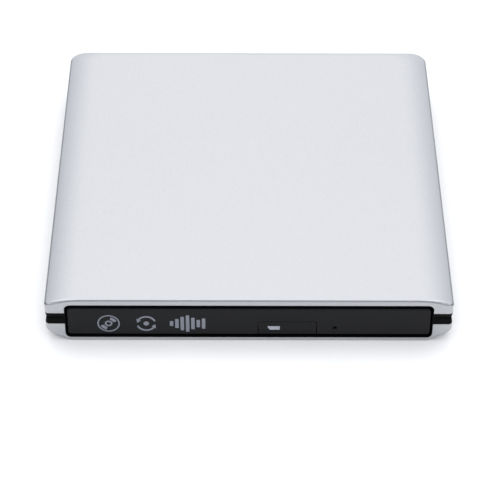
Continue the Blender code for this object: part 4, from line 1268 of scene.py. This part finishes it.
def legged_chip(name, pins, body, node):
    """A flat chip with a rounded package, an index dimple and gull-wing leads on two sides."""
    low, high = extent(node)
    outline = rounded_rectangle((low.x + 0.7, low.y + 0.7), (high.x - 0.7, high.y - 0.7), 0.2, 2)
    package = prism(name, [outline], low.z + 0.08, high.z)
    combine(package, pole(0.35, (low.x + 1.6, low.y + 1.6), high.z - 0.06, 20, 24))
    paint(soften(package, 0.1, 1, 34), "chip", body, node)
    leads = []
    rise = low.z + (high.z - low.z) * 0.5
    thick, half = 0.12, 0.11
    for i in range(pins):
        y = low.y + 1.2 + (high.y - low.y - 2.4) * i / (pins - 1)
        for edge, side in ((low.x, 1), (high.x, -1)):
            arm = sorted((edge + side * 0.35, edge + side * 0.8))
            for x0, x1, z0, z1 in (
                (edge, edge + side * 0.45, low.z, low.z + thick),
                (arm[0], arm[0] + 0.15, low.z, rise),
                (*arm, rise - thick, rise),
            ):
                leads.append(box("lead", (x0, y - half, z0), (x1, y + half, z1)))
    leads = soften(join(name + "_leads", leads), 0.02, 1, 40, clean=False)
    paint(leads, "steel", body, slot="steel")


def board(name, node, body, corner, holes=()):
    low, high = extent(node)
    outline = rounded_rectangle(low.xy, high.xy, corner, 5)
    made = prism(name, [outline, *holes], low.z, high.z)
    paint(soften(made, 0.06, 1, 34), "circuit_board", body, node)


def make_boards():
    """The bridge board with its screw holes and small parts, the drive's two boards, and the large chips."""
    low, high = extent("bridge_board")
    holes = [circle((x, 67.6), 1.1, 30) for x in (low.x + 3.0, high.x - 3.0)]
    board("bridge_circuit_board", "bridge_board", "case", 1.0, holes)
    top = high.z - 0.02
    ceramic, dark = [], []
    for i in range(9):
        x, y = -9.0 + (i % 5) * 2.3, 58.6 + (i // 5) * 2.5
        ceramic.append(component("capacitor", (x, y, top), (x + 1.3, y + 0.8, top + 0.7)))
    for i in range(7):
        x = 29.0 + i * 3.1
        dark.append(component("resistor", (x, 60.0, top), (x + 1.6, 60.9, top + 0.45)))
        dark.append(component("resistor", (x, 64.6, top), (x + 0.9, 66.2, top + 0.45)))
    cans = [pole(1.7, (x, 63.8), top, top + 2.6, 40, 1.6) for x in (-31.0, -37.5)]
    for name, made, finish in (
        ("ceramic_parts", ceramic, "brass"),
        ("resistors", dark, "chip"),
        ("capacitor_cans", cans, "steel"),
    ):
        paint(soften(join(name, made), 0.05, 1, 40, clean=False), finish, "case", slot=finish)

    board("tray_circuit_board", "tray_board", "tray", 0.8)
    board("drive_circuit_board", "drive_board", "case", 0.8)
    legged_chip("bridge_controller", 13, "case", "bridge_chip")
    legged_chip("drive_controller", 24, "tray", "drive_chip")


def make_grommets():
    """Soft mounts with a waist that the mechanism's plate sits in."""
    lip = 0.35
    quarter = (0, 0.5, 1.0, 1.57)
    for number in (1, 2, 3):
        node = f"grommet_{number}"
        low, high = extent(node)
        middle, rise, edge = (low + high) / 2, high.z - low.z, (high.x - low.x) / 2
        bore = 0.42 * edge
        side, top = edge - lip, rise - lip
        profile = [(bore, 0.0)]
        profile += [(side + lip * cos(a), lip - lip * sin(a)) for a in reversed(quarter)]
        waist = ((0.05, 0.28), (0.4, 0.38), (0.5, 0.5), (0.4, 0.62), (0.05, 0.72))
        profile += [(edge - inset, rise * share) for inset, share in waist]
        profile += [(side + lip * sin(a), top + lip * cos(a)) for a in reversed(quarter)]
        profile.append((bore, rise))
        made = turned(f"soft_mount_{number}", profile, steps=48, hollow=True)
        moved(made, Matrix.Translation((middle.x, middle.y, low.z)))
        paint(shade(made, 50), "rubber", "tray", node)


def make_lead_screw():
    """The feed screw: a two-start spiral thread between two plain journals."""
    first, last, journal, core, crest = 5.6, 59.6, 1.4, 0.98, 1.24
    starts, steps, sides = 2, 24, 24
    runout = 0.1
    count = int((last - first - 2 * (journal + runout)) / SCREW_LEAD * steps)

    def ring(along, turn=None):
        points = []
        for k in range(sides):
            angle = tau * k / sides
            radius = core
            if turn is not None:
                phase = (starts * (angle / tau + turn) % 1.0) * 2 - 1
                radius = core + (crest - core) * max(0.0, 1 - (abs(phase) * 2.2) ** 2)
            points.append((along, radius * cos(angle), radius * sin(angle)))
        return points

    rings = [ring(first), ring(first + journal)]
    rings += [ring(first + journal + runout + i * SCREW_LEAD / steps, i / steps) for i in range(count + 1)]
    rings += [ring(last - journal), ring(last)]
    made = shade(loft("feed_screw", rings), 50)
    moved(made, TRAVERSE @ Matrix.Translation((0, SCREW_ACROSS, SCREW_HEIGHT)))
    paint(made, "steel", "lead_screw", "lead_screw")


for make in (
    make_top_shell, make_bottom_shell, make_frames, make_opening_liner, make_case_screws, make_feet,
    make_port_panel, make_bezel, make_button, make_marks, make_tray, make_traverse_cover, make_turntable,
    make_pickup, make_rails, make_under_plate, make_usb_port, make_dc_jack, make_ribbon, make_latch,
    make_boards, make_grommets, make_lead_screw,
):
    make()

# The CAD nodes that are left keep their shape, get eased edges and take a worked finish
for held in frame["nodes"].values():
    finish = held.data.materials[0].name
    held.data.materials[0] = FINISHES[finish].material
    if not held.hide_render:
        ease(held)

# Stage


def make_floor():
    bm = bmesh.new()
    bmesh.ops.create_grid(bm, x_segments=1, y_segments=1, size=6000)
    floor = solid("studio_floor", bm)
    paper = Finish("paper", (0.93, 0.93, 0.935), 0.75)
    speckled(paper, 40, 0.006)
    floor.data.materials.append(paper.material)


def make_light(name, place, size, power):
    """A rectangular lamp turned towards the drive."""
    light = bpy.data.lights.new(name, "AREA")
    light.shape = "RECTANGLE"
    light.size, light.size_y = size
    light.energy = power
    made = link(bpy.data.objects.new(name, light))
    made.location = place
    made.rotation_euler = (-Vector(place)).to_track_quat("-Z", "Y").to_euler()


def make_world():
    """A soft studio: a bright ceiling and rear wall, darker towards both sides and behind the camera."""
    world = bpy.data.worlds.new("studio")
    bpy.context.scene.world = world
    world.use_nodes = True
    tree = world.node_tree
    background = tree.nodes["Background"]

    def calculate(operation, *values):
        made = tree.nodes.new("ShaderNodeMath")
        made.operation = operation
        for socket, value in zip(made.inputs, values):
            if isinstance(value, (int, float)):
                socket.default_value = value
            else:
                tree.links.new(value, socket)
        return made.outputs[0]

    where = tree.nodes.new("ShaderNodeTexCoord")
    split = tree.nodes.new("ShaderNodeSeparateXYZ")
    tree.links.new(where.outputs["Generated"], split.inputs[0])
    x, y, z = split.outputs
    sides = calculate("MULTIPLY", calculate("ABSOLUTE", x), -1.2)
    sides = calculate("MULTIPLY_ADD", x, 0.06, sides)
    level = calculate("ADD", calculate("MULTIPLY_ADD", y, 0.35, z), sides)
    place = calculate("MULTIPLY_ADD", level, 1 / 1.6, 0.4)
    ramp = tree.nodes.new("ShaderNodeValToRGB")
    tree.links.new(place, ramp.inputs[0])
    tree.links.new(ramp.outputs[0], background.inputs["Color"])
    stops = ramp.color_ramp.elements
    stops[0].position, stops[0].color = 0.02, (0.018, 0.024, 0.034, 1)
    stops[1].position, stops[1].color = 0.93, (1, 1, 1, 1)
    for position, colour in (
        (0.24, (0.075, 0.088, 0.108)),
        (0.38, (0.42, 0.44, 0.47)),
        (0.47, (0.66, 0.675, 0.70)),
        (0.63, (0.74, 0.755, 0.775)),
        (0.74, (0.90, 0.905, 0.915)),
    ):
        stops.new(position).color = (*colour, 1)
    background.inputs["Strength"].default_value = 1.8


def make_camera():
    flat = cos(ELEVATION)
    ahead = Vector((sin(YAW) * flat, cos(YAW) * flat, -sin(ELEVATION)))
    right = Vector((cos(YAW), -sin(YAW), 0))
    up = right.cross(ahead)
    turn = Matrix((right, up, -ahead)).transposed().to_4x4()
    camera = link(bpy.data.objects.new("camera", bpy.data.cameras.new("camera")))
    camera.data.lens = LENS
    camera.data.sensor_width = 36.0
    camera.data.clip_start = 0.05
    camera.data.clip_end = 50.0
    camera.matrix_world = Matrix.Translation(AIM - ahead * DISTANCE) @ turn @ Matrix.Rotation(ROLL, 4, "Z")
    bpy.context.scene.camera = camera


make_floor()
make_light("overhead", (0.0, 0.15, 1.1), (1.6, 0.9), 2.5)
make_light("front", (0.0, -1.0, 1.0), (1.6, 1.0), 6.0)
make_world()
make_camera()
bpy.context.scene.view_settings.view_transform = "Standard"
